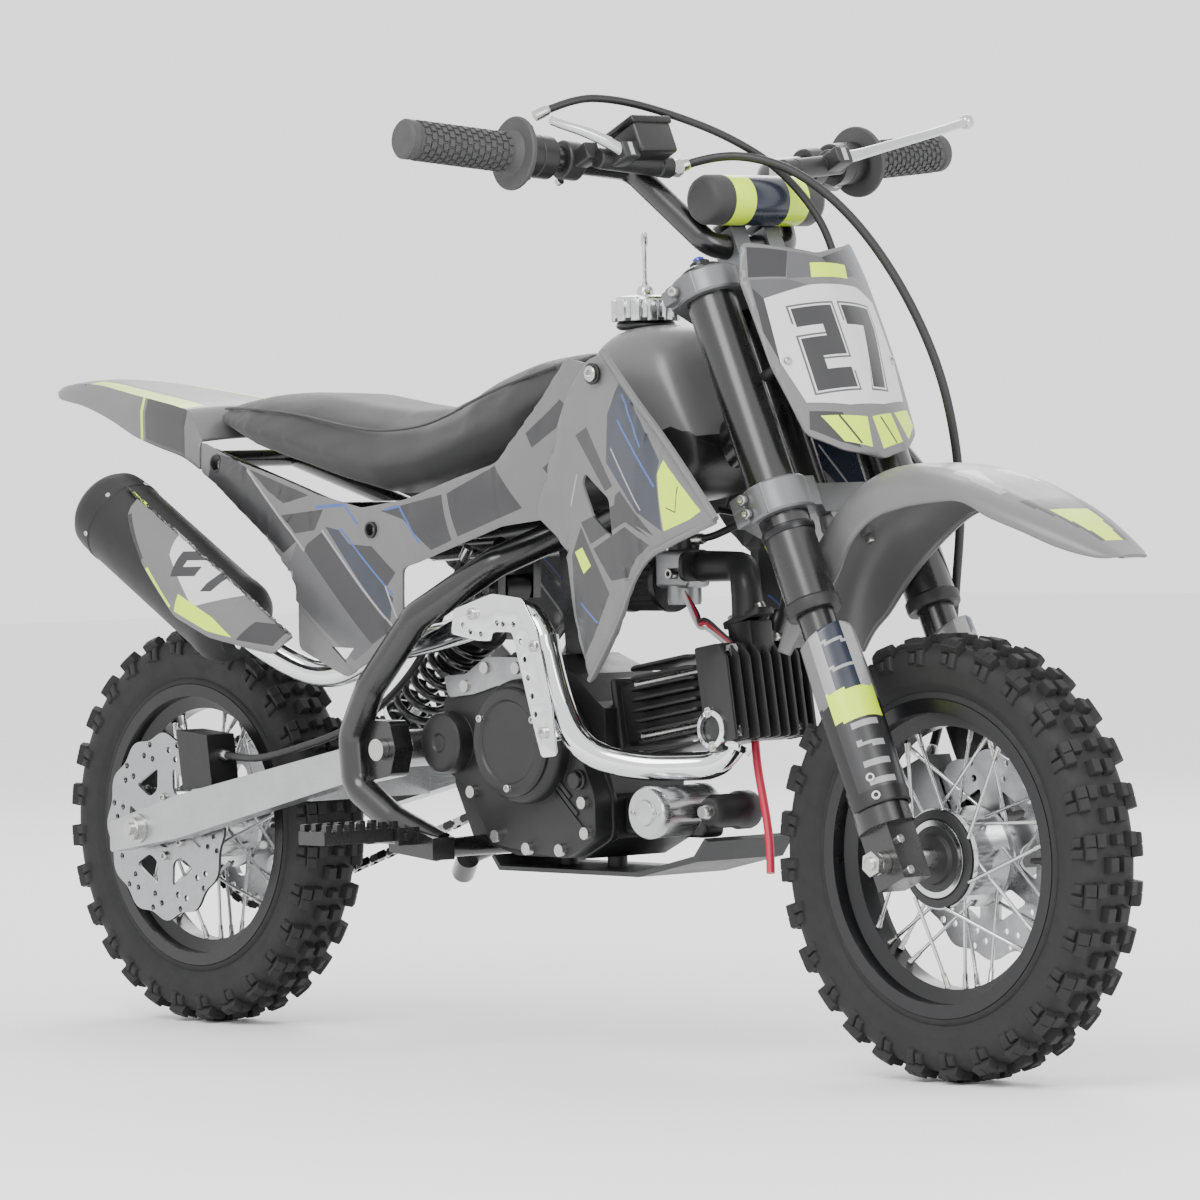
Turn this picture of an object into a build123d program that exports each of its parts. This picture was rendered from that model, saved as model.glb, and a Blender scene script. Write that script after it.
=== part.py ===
from build123d import *
import math
import os

os.makedirs("parts", exist_ok=True)

# A child-size petrol dirt bike with 10-inch wheels.  Units are millimetres.
# +X is forward, +Y is the rider's left and +Z is up.  Inside this file heights are measured from
# the line through both axles; export() lifts every piece by the tyre's radius onto the ground.
# Pieces that steer are built along the fork: x is across it to the front, z is up along it, and the
# origin is on the front axle.

# ---- driving dimensions ----
TYRE_DIA = 380.0
TYRE_WIDTH = 66.0
RIM_SEAT_DIA = 254.0
RIM_WIDTH = 54.0
WHEELBASE = 1003.0
FRONT_X = 504.0
RAKE = 24.2
FORK_OFFSET = 40.0
FORK_SPACING = 144.0
FORK_TUBE_DIA = 44.0
STANCHION_DIA = 32.0
GUARD_TOP_S = 204.0
CLAMP_THICK = 27.0
TOP_CLAMP_THICK = 20.0
LOWER_CLAMP_S = 318.0
TOP_CLAMP_S = 525.0
AXLE_DIA = 12.0
DISC_DIA = 180.0
DISC_THICK = 3.0
BAR_DIA = 22.0
BAR_HALF = 320.0
GRIP_LENGTH = 116.0
GRIP_DIA = 35.0
ARM_HEIGHT = 41.0
ARM_THICK = 22.0
ARM_OUTER = 94.0
PIVOT = (-110.0, 84.0)
PIVOT_BOLT_DIA = 12.0
LOOP_TUBE_DIA = 28.0
SPINE_DIA = 40.0
RAIL_DIA = 18.0
RAIL_SPACING = 96.0
PANEL_THICK = 3.0
CHAIN_Y = 55.0
CHAIN_WIDTH = 13.0
CHAIN_PITCH = 12.7
REAR_TEETH = 37
DRIVE_TEETH = 14
DRIVE_AXIS = (-58.0, 90.0)
CASE_RIGHT = -50.0
CASE_LEFT = 44.0
COVER_CIRCLE = (45.0, 93.0, 56.0)
HEADER_DIA = 25.0
CAN_DIA = 84.0
CAN_LENGTH = 245.0
CAN_SLOPE = 30.0
CAP_DIA = 62.0
SHOCK_TOP = (-62.0, 227.0)
SHOCK_BOTTOM = (-232.0, 88.0)
FIT = 0.3
RUN = 0.08

AXLE_HEIGHT = TYRE_DIA / 2
REAR_X = FRONT_X - WHEELBASE
SIN, COS = math.sin(math.radians(RAKE)), math.cos(math.radians(RAKE))
LEG_Y = FORK_SPACING / 2
TUBE_R = FORK_TUBE_DIA / 2
STANCHION_R = STANCHION_DIA / 2
AXLE_R = AXLE_DIA / 2
DISC_R = DISC_DIA / 2
BAR_R = BAR_DIA / 2
SEAT_R = RIM_SEAT_DIA / 2
FLANGE_R = SEAT_R + 8
FORK = Plane(origin=(FRONT_X, 0, 0), x_dir=(COS, 0, SIN), z_dir=(-SIN, 0, COS)).location
FRONT_WHEEL = Location((FRONT_X, 0, 0))
REAR_WHEEL = Location((REAR_X, 0, 0))


# ---- helpers ----
def export(name, *pieces):
    solids = []
    for piece in pieces:
        solids += piece.solids()
    lifted = [Location((0, 0, AXLE_HEIGHT)) * solid for solid in solids]
    whole = lifted[0] if len(lifted) == 1 else Compound(children=lifted)
    export_step(whole, f"parts/{name}.step")


def flat(points, y0, y1, radius=0.0):
    """A plate with its outline in the XZ plane, between two values of y."""
    corners = [Vector(x, y0, z) for x, z in points]
    if radius:
        wire = FilletPolyline(*corners, radius=radius, close=True)
    else:
        wire = Polyline(*corners, close=True)
    return extrude(make_face(wire), amount=y1 - y0, dir=(0, 1, 0))


def standing(points, z0, z1):
    """A prism with its outline in plan, between two heights."""
    wire = Polyline(*[Vector(x, y, z0) for x, y in points], close=True)
    return extrude(make_face(wire), amount=z1 - z0, dir=(0, 0, 1))


def rod(p, q, radius, bore=0.0):
    """A round bar, or a tube with a bore, from p to q."""
    along = Vector(*q) - Vector(*p)
    plane = Plane(origin=p, z_dir=along)
    disc = plane * Circle(radius)
    if bore:
        disc -= plane * Circle(bore)
    return extrude(disc, amount=along.length, dir=along)


def cross_rod(x, z, y0, y1, radius, bore=0.0):
    return rod((x, y0, z), (x, y1, z), radius, bore)


def bent_tube(points, bend, radius):
    """A round tube of straight runs with the same bend at each corner."""
    path = FilletPolyline(*[Vector(*p) for p in points], radius=bend)
    return sweep(Plane(origin=path @ 0, z_dir=path % 0) * Circle(radius), path=path)


def block(x0, x1, y0, y1, z0, z1):
    return Location(((x0 + x1) / 2, (y0 + y1) / 2, (z0 + z1) / 2)) * Box(x1 - x0, y1 - y0, z1 - z0)


def turned(profile):
    """A ring about the Y axis from points of (radius, y)."""
    return revolve(make_face(Polyline(*[Vector(r, y, 0) for r, y in profile], close=True)), axis=Axis.Y)


def cord(points, radius, name):
    """A cord of straight runs joined by the largest tangent arcs that its runs allow."""
    p = [Vector(*q) for q in points]
    radii = []
    for a, b, c in zip(p, p[1:], p[2:]):
        turn = math.radians((b - a).get_angle(c - b))
        radii.append(0.45 * min((b - a).length, (c - b).length) / math.tan(turn / 2))
    path = FilletPolyline(*p, radius=radii)
    tube = sweep(Plane(origin=path @ 0, z_dir=path % 0) * Circle(radius), path=path)
    ratio = tube.volume / (math.pi * radius ** 2 * path.length)
    print(name, "length", round(path.length), "radii", [round(r) for r in radii], "ratio", round(ratio, 4))
    return tube


# ---- wheels ----
def tyre():
    half = TYRE_WIDTH / 2
    bead = RIM_WIDTH / 2 - 3 - FIT
    crown = AXLE_HEIGHT
    outer = [(SEAT_R + FIT, bead), (FLANGE_R + 1, bead), (FLANGE_R + 9, bead + 5), (crown - 32, half - 1),
             (crown - 12, half), (crown - 2, half - 11), (crown, half - 20), (crown, 0)]
    inner = [(SEAT_R + FIT, bead - 10), (FLANGE_R + 6, bead - 8), (crown - 32, half - 9),
             (crown - 16, half - 8), (crown - 9, half - 16), (crown - 9, 0)]
    lining = [(r, -y) for r, y in inner[:-1]]
    outside = [(r, -y) for r, y in reversed(outer[:-1])]
    return turned(outer + outside + lining + list(reversed(inner)))


def rim():
    edge = RIM_WIDTH / 2
    shelf = edge - 3
    well_r = SEAT_R - 12
    over = [(FLANGE_R, edge), (FLANGE_R, shelf), (SEAT_R, shelf), (SEAT_R, 13), (well_r, 8)]
    under = [(well_r - 3.5, 9), (SEAT_R - 3.5, 14), (SEAT_R - 3.5, edge)]
    return turned(over + [(r, -y) for r, y in reversed(over)] + [(r, -y) for r, y in reversed(under)] + under)


RIM_INNER_R = SEAT_R - 12 - 3.5
HUB_FLANGE_R = 43.0
HUB_FLANGE_Y = (19.0, 24.0)
SPOKE_R = 1.6
SPOKES = 28


def hub(disc_side, disc_y, sprocket_y=0.0):
    """Hub with two spoke flanges, a boss for the disc and, at the rear, one for the sprocket."""
    body = cross_rod(0, 0, -HUB_FLANGE_Y[0], HUB_FLANGE_Y[0], 22)
    for side in (1, -1):
        y0, y1 = sorted((side * HUB_FLANGE_Y[0], side * HUB_FLANGE_Y[1]))
        body += cross_rod(0, 0, y0, y1, HUB_FLANGE_R)
    ends = [disc_side * (disc_y - DISC_THICK / 2), -disc_side * (sprocket_y or HUB_FLANGE_Y[1] + 4)]
    body += cross_rod(0, 0, min(ends), max(ends), 33)
    for rib in (-8, 0, 8):
        body += cross_rod(0, 0, rib - 1.5, rib + 1.5, 27)
    return body - cross_rod(0, 0, -120, 120, AXLE_R + RUN)


def spokes():
    """Crossed spokes: the outer set leads and the inner set trails, on both flanges."""
    pieces = []
    for n in range(SPOKES):
        side = 1 if n % 2 else -1
        outer_face = (n // 2) % 2
        start_y = HUB_FLANGE_Y[1] + SPOKE_R + 0.6 if outer_face else HUB_FLANGE_Y[0] - SPOKE_R - FIT
        lead = 34 if outer_face else -34
        end_y = 5 if outer_face else 2.6
        angle = 360 / SPOKES * n
        start = math.radians(angle)
        end = math.radians(angle + lead)
        r0, r1 = HUB_FLANGE_R - (1 if outer_face else 5), RIM_INNER_R - 0.6
        pieces.append(rod((r0 * math.cos(start), side * start_y, r0 * math.sin(start)),
                          (r1 * math.cos(end), side * end_y, r1 * math.sin(end)), SPOKE_R))
    return pieces


def brake_disc(side, disc_y):
    y0 = side * disc_y - DISC_THICK / 2
    y1 = y0 + DISC_THICK
    plate = cross_rod(0, 0, y0, y1, DISC_R, 14)
    for n in range(6):
        turn = Rot(0, 60 * n, 0)
        plate -= turn * flat([(40, -7), (64, -16), (64, 16), (40, 7)], y0 - 1, y1 + 1, 4)
        plate -= turn * cross_rod(26 * math.cos(0.52), 26 * math.sin(0.52), y0 - 1, y1 + 1, 3)
        for k in (-1, 0, 1):
            hole = math.radians(20 * k)
            radius = 77 + 4 * k
            plate -= turn * cross_rod(radius * math.cos(hole), radius * math.sin(hole), y0 - 1, y1 + 1, 3.2)
    return plate


def tooth_circle(teeth):
    return CHAIN_PITCH / math.sin(math.pi / teeth) / 2


def sprocket(teeth, y, bore):
    pitch_r = tooth_circle(teeth)
    disc = cross_rod(0, 0, y - 3, y + 3, pitch_r + 2, bore)
    for n in range(teeth):
        angle = 2 * math.pi * (n + 0.5) / teeth
        disc -= cross_rod(pitch_r * math.cos(angle), pitch_r * math.sin(angle), y - 4, y + 4, 4)
    return disc


FRONT_DISC_Y = 40.0
REAR_DISC_Y = 60.0
export("front_tyre", FRONT_WHEEL * tyre())
export("front_rim", FRONT_WHEEL * rim())
export("front_hub", FRONT_WHEEL * hub(1, FRONT_DISC_Y), *[FRONT_WHEEL * s for s in spokes()])
export("front_disc", FRONT_WHEEL * brake_disc(1, FRONT_DISC_Y))
SPROCKET_Y = CHAIN_Y - 3
export("rear_tyre", REAR_WHEEL * tyre())
export("rear_rim", REAR_WHEEL * rim())
export("rear_hub", REAR_WHEEL * hub(-1, REAR_DISC_Y, SPROCKET_Y), *[REAR_WHEEL * s for s in spokes()])
export("rear_disc", REAR_WHEEL * brake_disc(-1, REAR_DISC_Y))
windows = [Rot(0, 60 * n, 0) * cross_rod(50, 0, CHAIN_Y - 5, CHAIN_Y + 5, 11) for n in range(6)]
export("rear_sprocket", REAR_WHEEL * (sprocket(REAR_TEETH, CHAIN_Y, 14) - windows))
drive = Location((DRIVE_AXIS[0], 0, DRIVE_AXIS[1]))
export("drive_sprocket", drive * sprocket(DRIVE_TEETH, CHAIN_Y, 8 + RUN))

# ---- fork and steering, along the fork ----
GUARD_R = TUBE_R + 2.5
LUG_R = GUARD_R - FIT
LOWER_S = 231.0
TUBE_TOP_S = 548.0
STEM_R = 12.5


def slider(y):
    """Polished leg that slides into the black tube, with the axle lug at its foot."""
    leg = rod((0, y, 20), (0, y, 400), STANCHION_R)
    leg += rod((0, y, 30), (0, y, 68), LUG_R)
    leg += block(-17, 17, y - 16, y + 16, -20, 40)
    return leg - cross_rod(0, 0, -120, 120, AXLE_R + 0.05)


def fork_guard(y):
    shell = rod((0, y, 46), (0, y, GUARD_TOP_S), GUARD_R + 3, GUARD_R)
    outward = 1 if y > 0 else -1
    back = standing([(-40, y - 60 * outward), (-6, y - 60 * outward), (-6, y), (-16, y + 40 * outward),
                     (-40, y + 40 * outward)], 40, 220)
    return shell - back


def front_caliper():
    y0, y1 = FRONT_DISC_Y - 11, FRONT_DISC_Y + 20
    body = block(-60, -26.5, y0, y1, 45, 104) + block(-34, -23.5, y0 + 27, y0 + 36, 46, 66)
    groove = cross_rod(0, 0, FRONT_DISC_Y - 3, FRONT_DISC_Y + 3, DISC_R + 4)
    return body - groove


export("fork_sliders", *[FORK * slider(y) for y in (LEG_Y, -LEG_Y)])
export("fork_guards", *[FORK * fork_guard(y) for y in (LEG_Y, -LEG_Y)])
axle = cross_rod(0, 0, -LEG_Y - 20, LEG_Y + 20, AXLE_R)
for y0, y1 in ((-LEG_Y - 26, -LEG_Y - 16.3), (LEG_Y + 16.3, LEG_Y + 26)):
    axle += cross_rod(0, 0, y0, y1, 10)
axle += cross_rod(0, 0, -LEG_Y + 16.3, -HUB_FLANGE_Y[1] - 4.5, 10)
axle += cross_rod(0, 0, FRONT_DISC_Y + 2.2, LEG_Y - 16.3, 10)
export("front_axle", FORK * axle)
export("front_caliper", FORK * front_caliper())


def fork_tube(y):
    tube = rod((0, y, LOWER_S), (0, y, TUBE_TOP_S), TUBE_R)
    tube += rod((0, y, LOWER_S), (0, y, LOWER_S + 14), TUBE_R)
    return tube - rod((0, y, LOWER_S - 1), (0, y, TUBE_TOP_S - 40), STANCHION_R + RUN)


def clamp_plate(s, thick):
    outline = [(-FORK_OFFSET - 26, -24), (-FORK_OFFSET - 26, 24), (-24, LEG_Y + 26), (12, LEG_Y + 28),
               (26, LEG_Y + 14), (26, LEG_Y - 24), (10, 30), (10, -30), (26, 24 - LEG_Y), (26, -LEG_Y - 14),
               (12, -LEG_Y - 28), (-24, -LEG_Y - 26)]
    plate = standing(outline, s, s + thick)
    for y in (LEG_Y, -LEG_Y):
        plate -= rod((0, y, s - 1), (0, y, s + thick + 1), TUBE_R + 0.05)
    return plate


stem_line = -FORK_OFFSET
top_hole = rod((stem_line, 0, TOP_CLAMP_S - 1), (stem_line, 0, TOP_CLAMP_S + 40), STEM_R + 0.05)
lower = clamp_plate(LOWER_CLAMP_S, CLAMP_THICK)
stem_top = TOP_CLAMP_S + TOP_CLAMP_THICK + 8
lower += rod((stem_line, 0, LOWER_CLAMP_S), (stem_line, 0, stem_top), STEM_R)
upper_clamp = clamp_plate(TOP_CLAMP_S, TOP_CLAMP_THICK) - top_hole
export("fork_tubes", *[FORK * fork_tube(y) for y in (LEG_Y, -LEG_Y)])

BAR_MID = (-5.5, 578.0)
BAR_BEND = (-33.0, 82.0, 667.0)
BAR_TIP = (-45.0, 697.0)
GRIP_IN = BAR_HALF - GRIP_LENGTH


def bar_at(y, a=0.0, s=0.0):
    """A point beside the outer run of the handlebar, by its distance from the centre plane."""
    share = (abs(y) - BAR_BEND[1]) / (BAR_HALF - BAR_BEND[1])
    return (BAR_BEND[0] + (BAR_TIP[0] - BAR_BEND[0]) * share + a, y,
            BAR_BEND[2] + (BAR_TIP[1] - BAR_BEND[2]) * share + s)


bar_points = [bar_at(-BAR_HALF), (BAR_BEND[0], -BAR_BEND[1], BAR_BEND[2]), (BAR_MID[0], -45, BAR_MID[1]),
              (BAR_MID[0], 45, BAR_MID[1]), BAR_BEND, bar_at(BAR_HALF)]
export("handlebar", FORK * bent_tube(bar_points, 20, BAR_R))


def riser(y):
    foot = TOP_CLAMP_S + TOP_CLAMP_THICK
    piece = block(BAR_MID[0] - 14, BAR_MID[0] + 14, y - 9, y + 9, foot, BAR_MID[1] + BAR_R + 2.5)
    return piece - cross_rod(BAR_MID[0], BAR_MID[1], y - 20, y + 20, BAR_R + 0.1)


export("triple_clamps", FORK * lower, FORK * upper_clamp, FORK * riser(20), FORK * riser(-20))
export("crossbar_pad", FORK * cross_rod(20.2, 610.6, -67, 67, 22))


def grip(y0, y1, inner_r):
    """Rubber grip with a round flange at its inner end and a rounded outer end."""
    out = 1 if y1 > y0 else -1
    piece = rod(bar_at(y0), bar_at(y1), GRIP_DIA / 2)
    piece += rod(bar_at(y0), bar_at(y0 + 5 * out), 32)
    return piece - rod(bar_at(y0 - 5 * out), bar_at(BAR_HALF * out), inner_r)


export("throttle_grip", FORK * grip(-GRIP_IN, -BAR_HALF - 4, BAR_R + RUN))
export("grip_left", FORK * grip(GRIP_IN, BAR_HALF + 4, BAR_R + 0.05))


def around_bar(y0, y1, radius):
    return rod(bar_at(y0), bar_at(y1), radius) - rod(bar_at(y0 - 3), bar_at(y1 + 3), BAR_R + 0.1)


def control_housing(side, inner, outer):
    return around_bar(side * outer, side * inner, 19)


THROTTLE_Y = (170.0, GRIP_IN - 0.5)
LEVER_PIVOT_Y = 128.0
housing_right = control_housing(-1, *THROTTLE_Y)
housing_right += rod(bar_at(-188, -6, 14), bar_at(-180, -2, 30), 7)
perch_right = around_bar(-158, -140, 17)
perch_right += rod(bar_at(-146, 31, -13), bar_at(-63, 31, -13), 9)
perch_right += rod(bar_at(-149, 12, -5), bar_at(-149, 31, -13), 8)
perch_right += block(-13, 25, -120.5, -77, 655, 688)
perch_right -= rod(bar_at(-162), bar_at(-60), BAR_R + 0.1)
perch_left = around_bar(132, 150, 17)
perch_left += rod(bar_at(138, 31, -13), bar_at(66, 31, -13), 9)
perch_left += rod(bar_at(141, 12, -5), bar_at(141, 31, -13), 8)
perch_left -= rod(bar_at(60), bar_at(155), BAR_R + 0.1)
perches = []
BUTTON_Y = 185.0
pod = control_housing(1, 168, GRIP_IN - 0.5)
pod += block(bar_at(185)[0] - 33, bar_at(185)[0] - 12, 170, 200, bar_at(185)[2] - 10, bar_at(185)[2] + 12)
pod -= rod(bar_at(165), bar_at(206), BAR_R + 0.1)
button_x = bar_at(BUTTON_Y)[0] - 33
button_s = bar_at(BUTTON_Y)[2] + 1
pod -= rod((button_x - 1, BUTTON_Y, button_s), (button_x + 8, BUTTON_Y, button_s), 5.3)
for side, perch in ((-1, perch_right), (1, perch_left)):
    y = side * LEVER_PIVOT_Y
    perch += rod(bar_at(y, 31, -21.2), bar_at(y, 49, -21.2), 2.4)
    perches.append(perch)
export("bar_controls", FORK * housing_right, FORK * perches[0], FORK * perches[1], FORK * pod)
button = rod((button_x - 3, BUTTON_Y, button_s), (button_x + 5, BUTTON_Y, button_s), 5)
export("start_button", FORK * button)


def lever(points, side):
    """Flat hand lever with a boss round its pivot pin."""
    y = LEVER_PIVOT_Y * side
    pivot = bar_at(y, 47.5, -14)
    blade = rod((pivot[0], pivot[1], pivot[2] - 4), (pivot[0], pivot[1], pivot[2] + 6), 6)
    previous = pivot
    for point, radius in points:
        place = bar_at(*point)
        blade += rod(previous, place, radius)
        blade += Location(place) * Sphere(radius)
        previous = place
    return blade


right_blade = lever([((-168, 48, 2), 5), ((-197, 45, 10), 4)], -1)
left_blade = lever([((168, 50, -12), 5), ((225, 60, -8), 4.5), ((298, 60, 2), 4), ((304, 59, 3), 7)], 1)
export("brake_lever_right", FORK * right_blade)
export("brake_lever_left", FORK * left_blade)

PLATE_OUTLINE = [(-66, 556), (-40, 546), (0, 532), (40, 546), (66, 556), (77, 522), (76, 440), (66, 372),
                 (38, 352), (0, 341), (-38, 352), (-66, 372), (-76, 440), (-77, 522)]
PLATE_EDGE_A, PLATE_MID_A = 44.0, 70.0


def number_plate():
    outline = Polyline(*[Vector(0, y, s) for y, s in PLATE_OUTLINE], close=True)
    slab = extrude(make_face(outline), amount=100, dir=(1, 0, 0))
    outer = ThreePointArc((PLATE_EDGE_A, -78), (PLATE_MID_A, 0), (PLATE_EDGE_A, 78))
    inner = ThreePointArc((PLATE_EDGE_A - 3, -78), (PLATE_MID_A - 3, 0), (PLATE_EDGE_A - 3, 78))
    ends = [Line(outer @ 0, inner @ 0), Line(outer @ 1, inner @ 1)]
    strip = extrude(make_face([outer, inner, *ends]), amount=300, dir=(0, 0, 1))
    plate = slab & (Location((0, 0, 320)) * strip)
    for y in (LEG_Y - 10, 10 - LEG_Y):
        plate += rod((TUBE_R - 0.2, y, 440), (51.5, y, 440), 5)
    return plate


export("number_plate", FORK * number_plate())

FENDER_TOP = [(318, 176), (345, 236), (372, 276), (408, 296), (443, 341), (515, 334), (608, 308), (664, 284),
              (712, 258)]
FENDER_EDGE = [(716, 256), (694, 253), (646, 272), (598, 289), (582, 303), (538, 302), (465, 288), (432, 264),
               (396, 219), (352, 176)]
FENDER_PLAN = [(310, 46), (436, 46), (444, 62), (598, 60), (646, 52), (694, 34), (720, 12)]


def thin_fender(top, edge, plan, wall):
    """A mudguard: the outside less the same shape moved inwards by the wall."""
    low = min(z for x, z in edge) - 60
    outside = flat(top + edge, -200, 200)
    around = plan + [(x, -y) for x, y in reversed(plan)]
    outside &= standing(around, low, 600)
    under = [(x + 1.2 * wall, z - 1.2 * wall) for x, z in top[:4]] + [(x, z - 1.1 * wall) for x, z in top[4:]]
    tight = [(x, y - wall) for x, y in plan]
    inside = flat(under + [(x, low) for x in (top[-1][0], top[0][0])], -200, 200)
    inside &= standing(tight + [(x, -y) for x, y in reversed(tight)], low, 600)
    return outside - inside


front_fender = thin_fender(FENDER_TOP, FENDER_EDGE, FENDER_PLAN, PANEL_THICK)
for y in (22, -22):
    front_fender += FORK * rod((0, y, 304), (0, y, LOWER_CLAMP_S - FIT), 6)
export("front_fender", front_fender)

# ---- frame ----
HEAD_TUBE = (LOWER_CLAMP_S + CLAMP_THICK + FIT, TOP_CLAMP_S - FIT)


def fork_to_bike(a, y, s):
    return (FRONT_X + a * COS - s * SIN, y, a * SIN + s * COS)


LOOP_R = LOOP_TUBE_DIA / 2
LOOP = [(40, -14, 282), (0, -72, 252), (-66, -110, 204), (-121, -119, 141), (-147, -119, 96),
        (-143, -119, 50), (-99, -113, 20), (-45, -104, -3)]
SPINE = [fork_to_bike(-FORK_OFFSET, 0, 440), (210, 0, 338), (60, 0, 285), (-110, 0, 262)]
RAIL = [(-20, RAIL_SPACING / 2, 266), (-110, RAIL_SPACING / 2, 262), (-250, RAIL_SPACING / 2, 300),
        (-430, RAIL_SPACING / 2, 352)]
PEG_Y = 136.0
PEG_X = (-98.0, -62.0)
PEG_Z = 8.0
STAND_PIVOT = (-120.0, 20.0)
STAND_FACE = 134.0
STAND_PIN_R = 5.0
SEAT_POST = (-146.0, 309.0)


def frame():
    low, high = HEAD_TUBE
    head = rod((stem_line, 0, low), (stem_line, 0, high), 25, STEM_R + RUN)
    spine = bent_tube(SPINE, 60, SPINE_DIA / 2)
    shape = FORK * head + (spine - FORK * rod((stem_line, 0, low), (stem_line, 0, high), 20))
    for side in (1, -1):
        loop = bent_tube([(x, -y * side, z) for x, y, z in LOOP], 24, LOOP_R)
        rail = bent_tube([(x, y * side, z) for x, y, z in RAIL], 40, RAIL_DIA / 2)
        inner, outer = sorted((side * (ARM_OUTER + 0.4), side * 116))
        plate = flat([(-160, 110), (-100, 110), (-92, 84), (-100, 60), (-160, 50)], inner, outer, 6)
        inner, outer = sorted((side * 96, side * 122))
        foot = flat([(-104, 26), (-96, -8), (-36, -14), (-36, 6)], inner, outer)
        shape += [loop, rail, plate, foot]
        for x in PEG_X:
            out = x - 6 if x == PEG_X[0] else x + 1
            y0, y1 = sorted((side * 120, side * (PEG_Y + 9)))
            shape += block(out, out + 5, y0, y1, PEG_Z - 8, PEG_Z + 8)
    for x, z, radius in ((-112, 262, 9), (-28, 264, 9), (-250, 300, 8), (-425, 350.5, 8)):
        shape += cross_rod(x, z, -RAIL_SPACING / 2, RAIL_SPACING / 2, radius)
    shape += cross_rod(-50, -4, -104, 104, 9)
    shape += flat([(SHOCK_TOP[0] - 16, 262), (SHOCK_TOP[0] + 14, 262), (SHOCK_TOP[0] + 12, SHOCK_TOP[1] - 9),
                   (SHOCK_TOP[0] - 12, SHOCK_TOP[1] - 9)], -26, -17)
    shape += flat([(SHOCK_TOP[0] - 16, 262), (SHOCK_TOP[0] + 14, 262), (SHOCK_TOP[0] + 12, SHOCK_TOP[1] - 9),
                   (SHOCK_TOP[0] - 12, SHOCK_TOP[1] - 9)], 17, 26)
    shape += flat([(14, 284), (62, 284), (50, 168.3), (22, 168.3)], -9, 9)
    for y in (RAIL_SPACING / 2, -RAIL_SPACING / 2):
        shape += rod((SEAT_POST[0], y, 272), (SEAT_POST[0], y, SEAT_POST[1] - FIT), 5)
    shape += cross_rod(*STAND_PIVOT, 112, STAND_FACE, 11)
    shape += cross_rod(*STAND_PIVOT, STAND_FACE - 1, STAND_FACE + 16, STAND_PIN_R)
    shape -= cross_rod(SHOCK_TOP[0], SHOCK_TOP[1], -40, 40, 5.05)
    shape -= cross_rod(PIVOT[0], PIVOT[1], -140, 140, PIVOT_BOLT_DIA / 2 + 0.05)
    for side in (1, -1):
        shape -= rod((PEG_X[0] - 10, side * PEG_Y, PEG_Z), (PEG_X[1] + 10, side * PEG_Y, PEG_Z), 4 + RUN)
    return shape


export("frame", frame())
pivot_bolt = cross_rod(*PIVOT, -ARM_OUTER - 24, ARM_OUTER + 24, PIVOT_BOLT_DIA / 2)
pivot_bolt += cross_rod(*PIVOT, ARM_OUTER + 22.2, ARM_OUTER + 30, 10)
pivot_bolt += cross_rod(*PIVOT, -ARM_OUTER - 30, -ARM_OUTER - 22.2, 10)

# ---- swingarm and rear drive ----
ARM_IN = ARM_OUTER - ARM_THICK


def arm_z(x):
    return PIVOT[1] * (x - REAR_X) / (PIVOT[0] - REAR_X)


def swingarm():
    shape = cross_rod(*PIVOT, -ARM_OUTER, ARM_OUTER, 17)
    half = ARM_HEIGHT / 2
    x0, bend_x, x1 = REAR_X - 44, REAR_X + 60, PIVOT[0] + 8
    for side in (1, -1):
        y0, y1 = sorted((side * ARM_IN, side * ARM_OUTER))
        outline = [(x0, arm_z(x0) - half + 6), (x0, arm_z(x0) + half - 6), (bend_x, arm_z(bend_x) + half),
                   (x1, arm_z(x1) + 15), (x1, arm_z(x1) - 15), (bend_x, arm_z(bend_x) - half)]
        shape += flat(outline, y0, y1, 3)
    cross_x = min(REAR_X + TYRE_DIA / 2 + 32, PIVOT[0] - 75)
    z = arm_z(cross_x)
    shape += block(cross_x - 13, cross_x + 13, -ARM_IN, ARM_IN, z - 17, z + 17)
    for y in (-15.0, 15.0):
        y0, y1 = sorted((y, y * 1.6))
        ear = [(cross_x - 12, z + 12), (cross_x + 12, z + 12), (SHOCK_BOTTOM[0] + 11, SHOCK_BOTTOM[1] + 10),
               (SHOCK_BOTTOM[0] - 11, SHOCK_BOTTOM[1] + 10)]
        shape += flat(ear, y0, y1)
    shape -= cross_rod(*PIVOT, -200, 200, PIVOT_BOLT_DIA / 2 + RUN)
    shape -= cross_rod(REAR_X, 0, -200, 200, AXLE_R + 0.05)
    return shape - cross_rod(*SHOCK_BOTTOM, -40, 40, 5.05)


export("swingarm", swingarm())
rear_axle = cross_rod(REAR_X, 0, -ARM_OUTER - 14, ARM_OUTER + 14, AXLE_R)
for side in (1, -1):
    y0, y1 = sorted((side * (ARM_OUTER + 0.3), side * (ARM_OUTER + 9)))
    rear_axle += cross_rod(REAR_X, 0, y0, y1, 11)
rear_axle += cross_rod(REAR_X, 0, -ARM_IN + 0.2, -REAR_DISC_Y - DISC_THICK / 2 - 0.5, 10)
rear_axle += cross_rod(REAR_X, 0, CHAIN_Y + 3.6, ARM_IN - 0.2, 10)
export("swingarm_bolts", rear_axle, cross_rod(*SHOCK_BOTTOM, -28, 28, 5))


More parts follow.
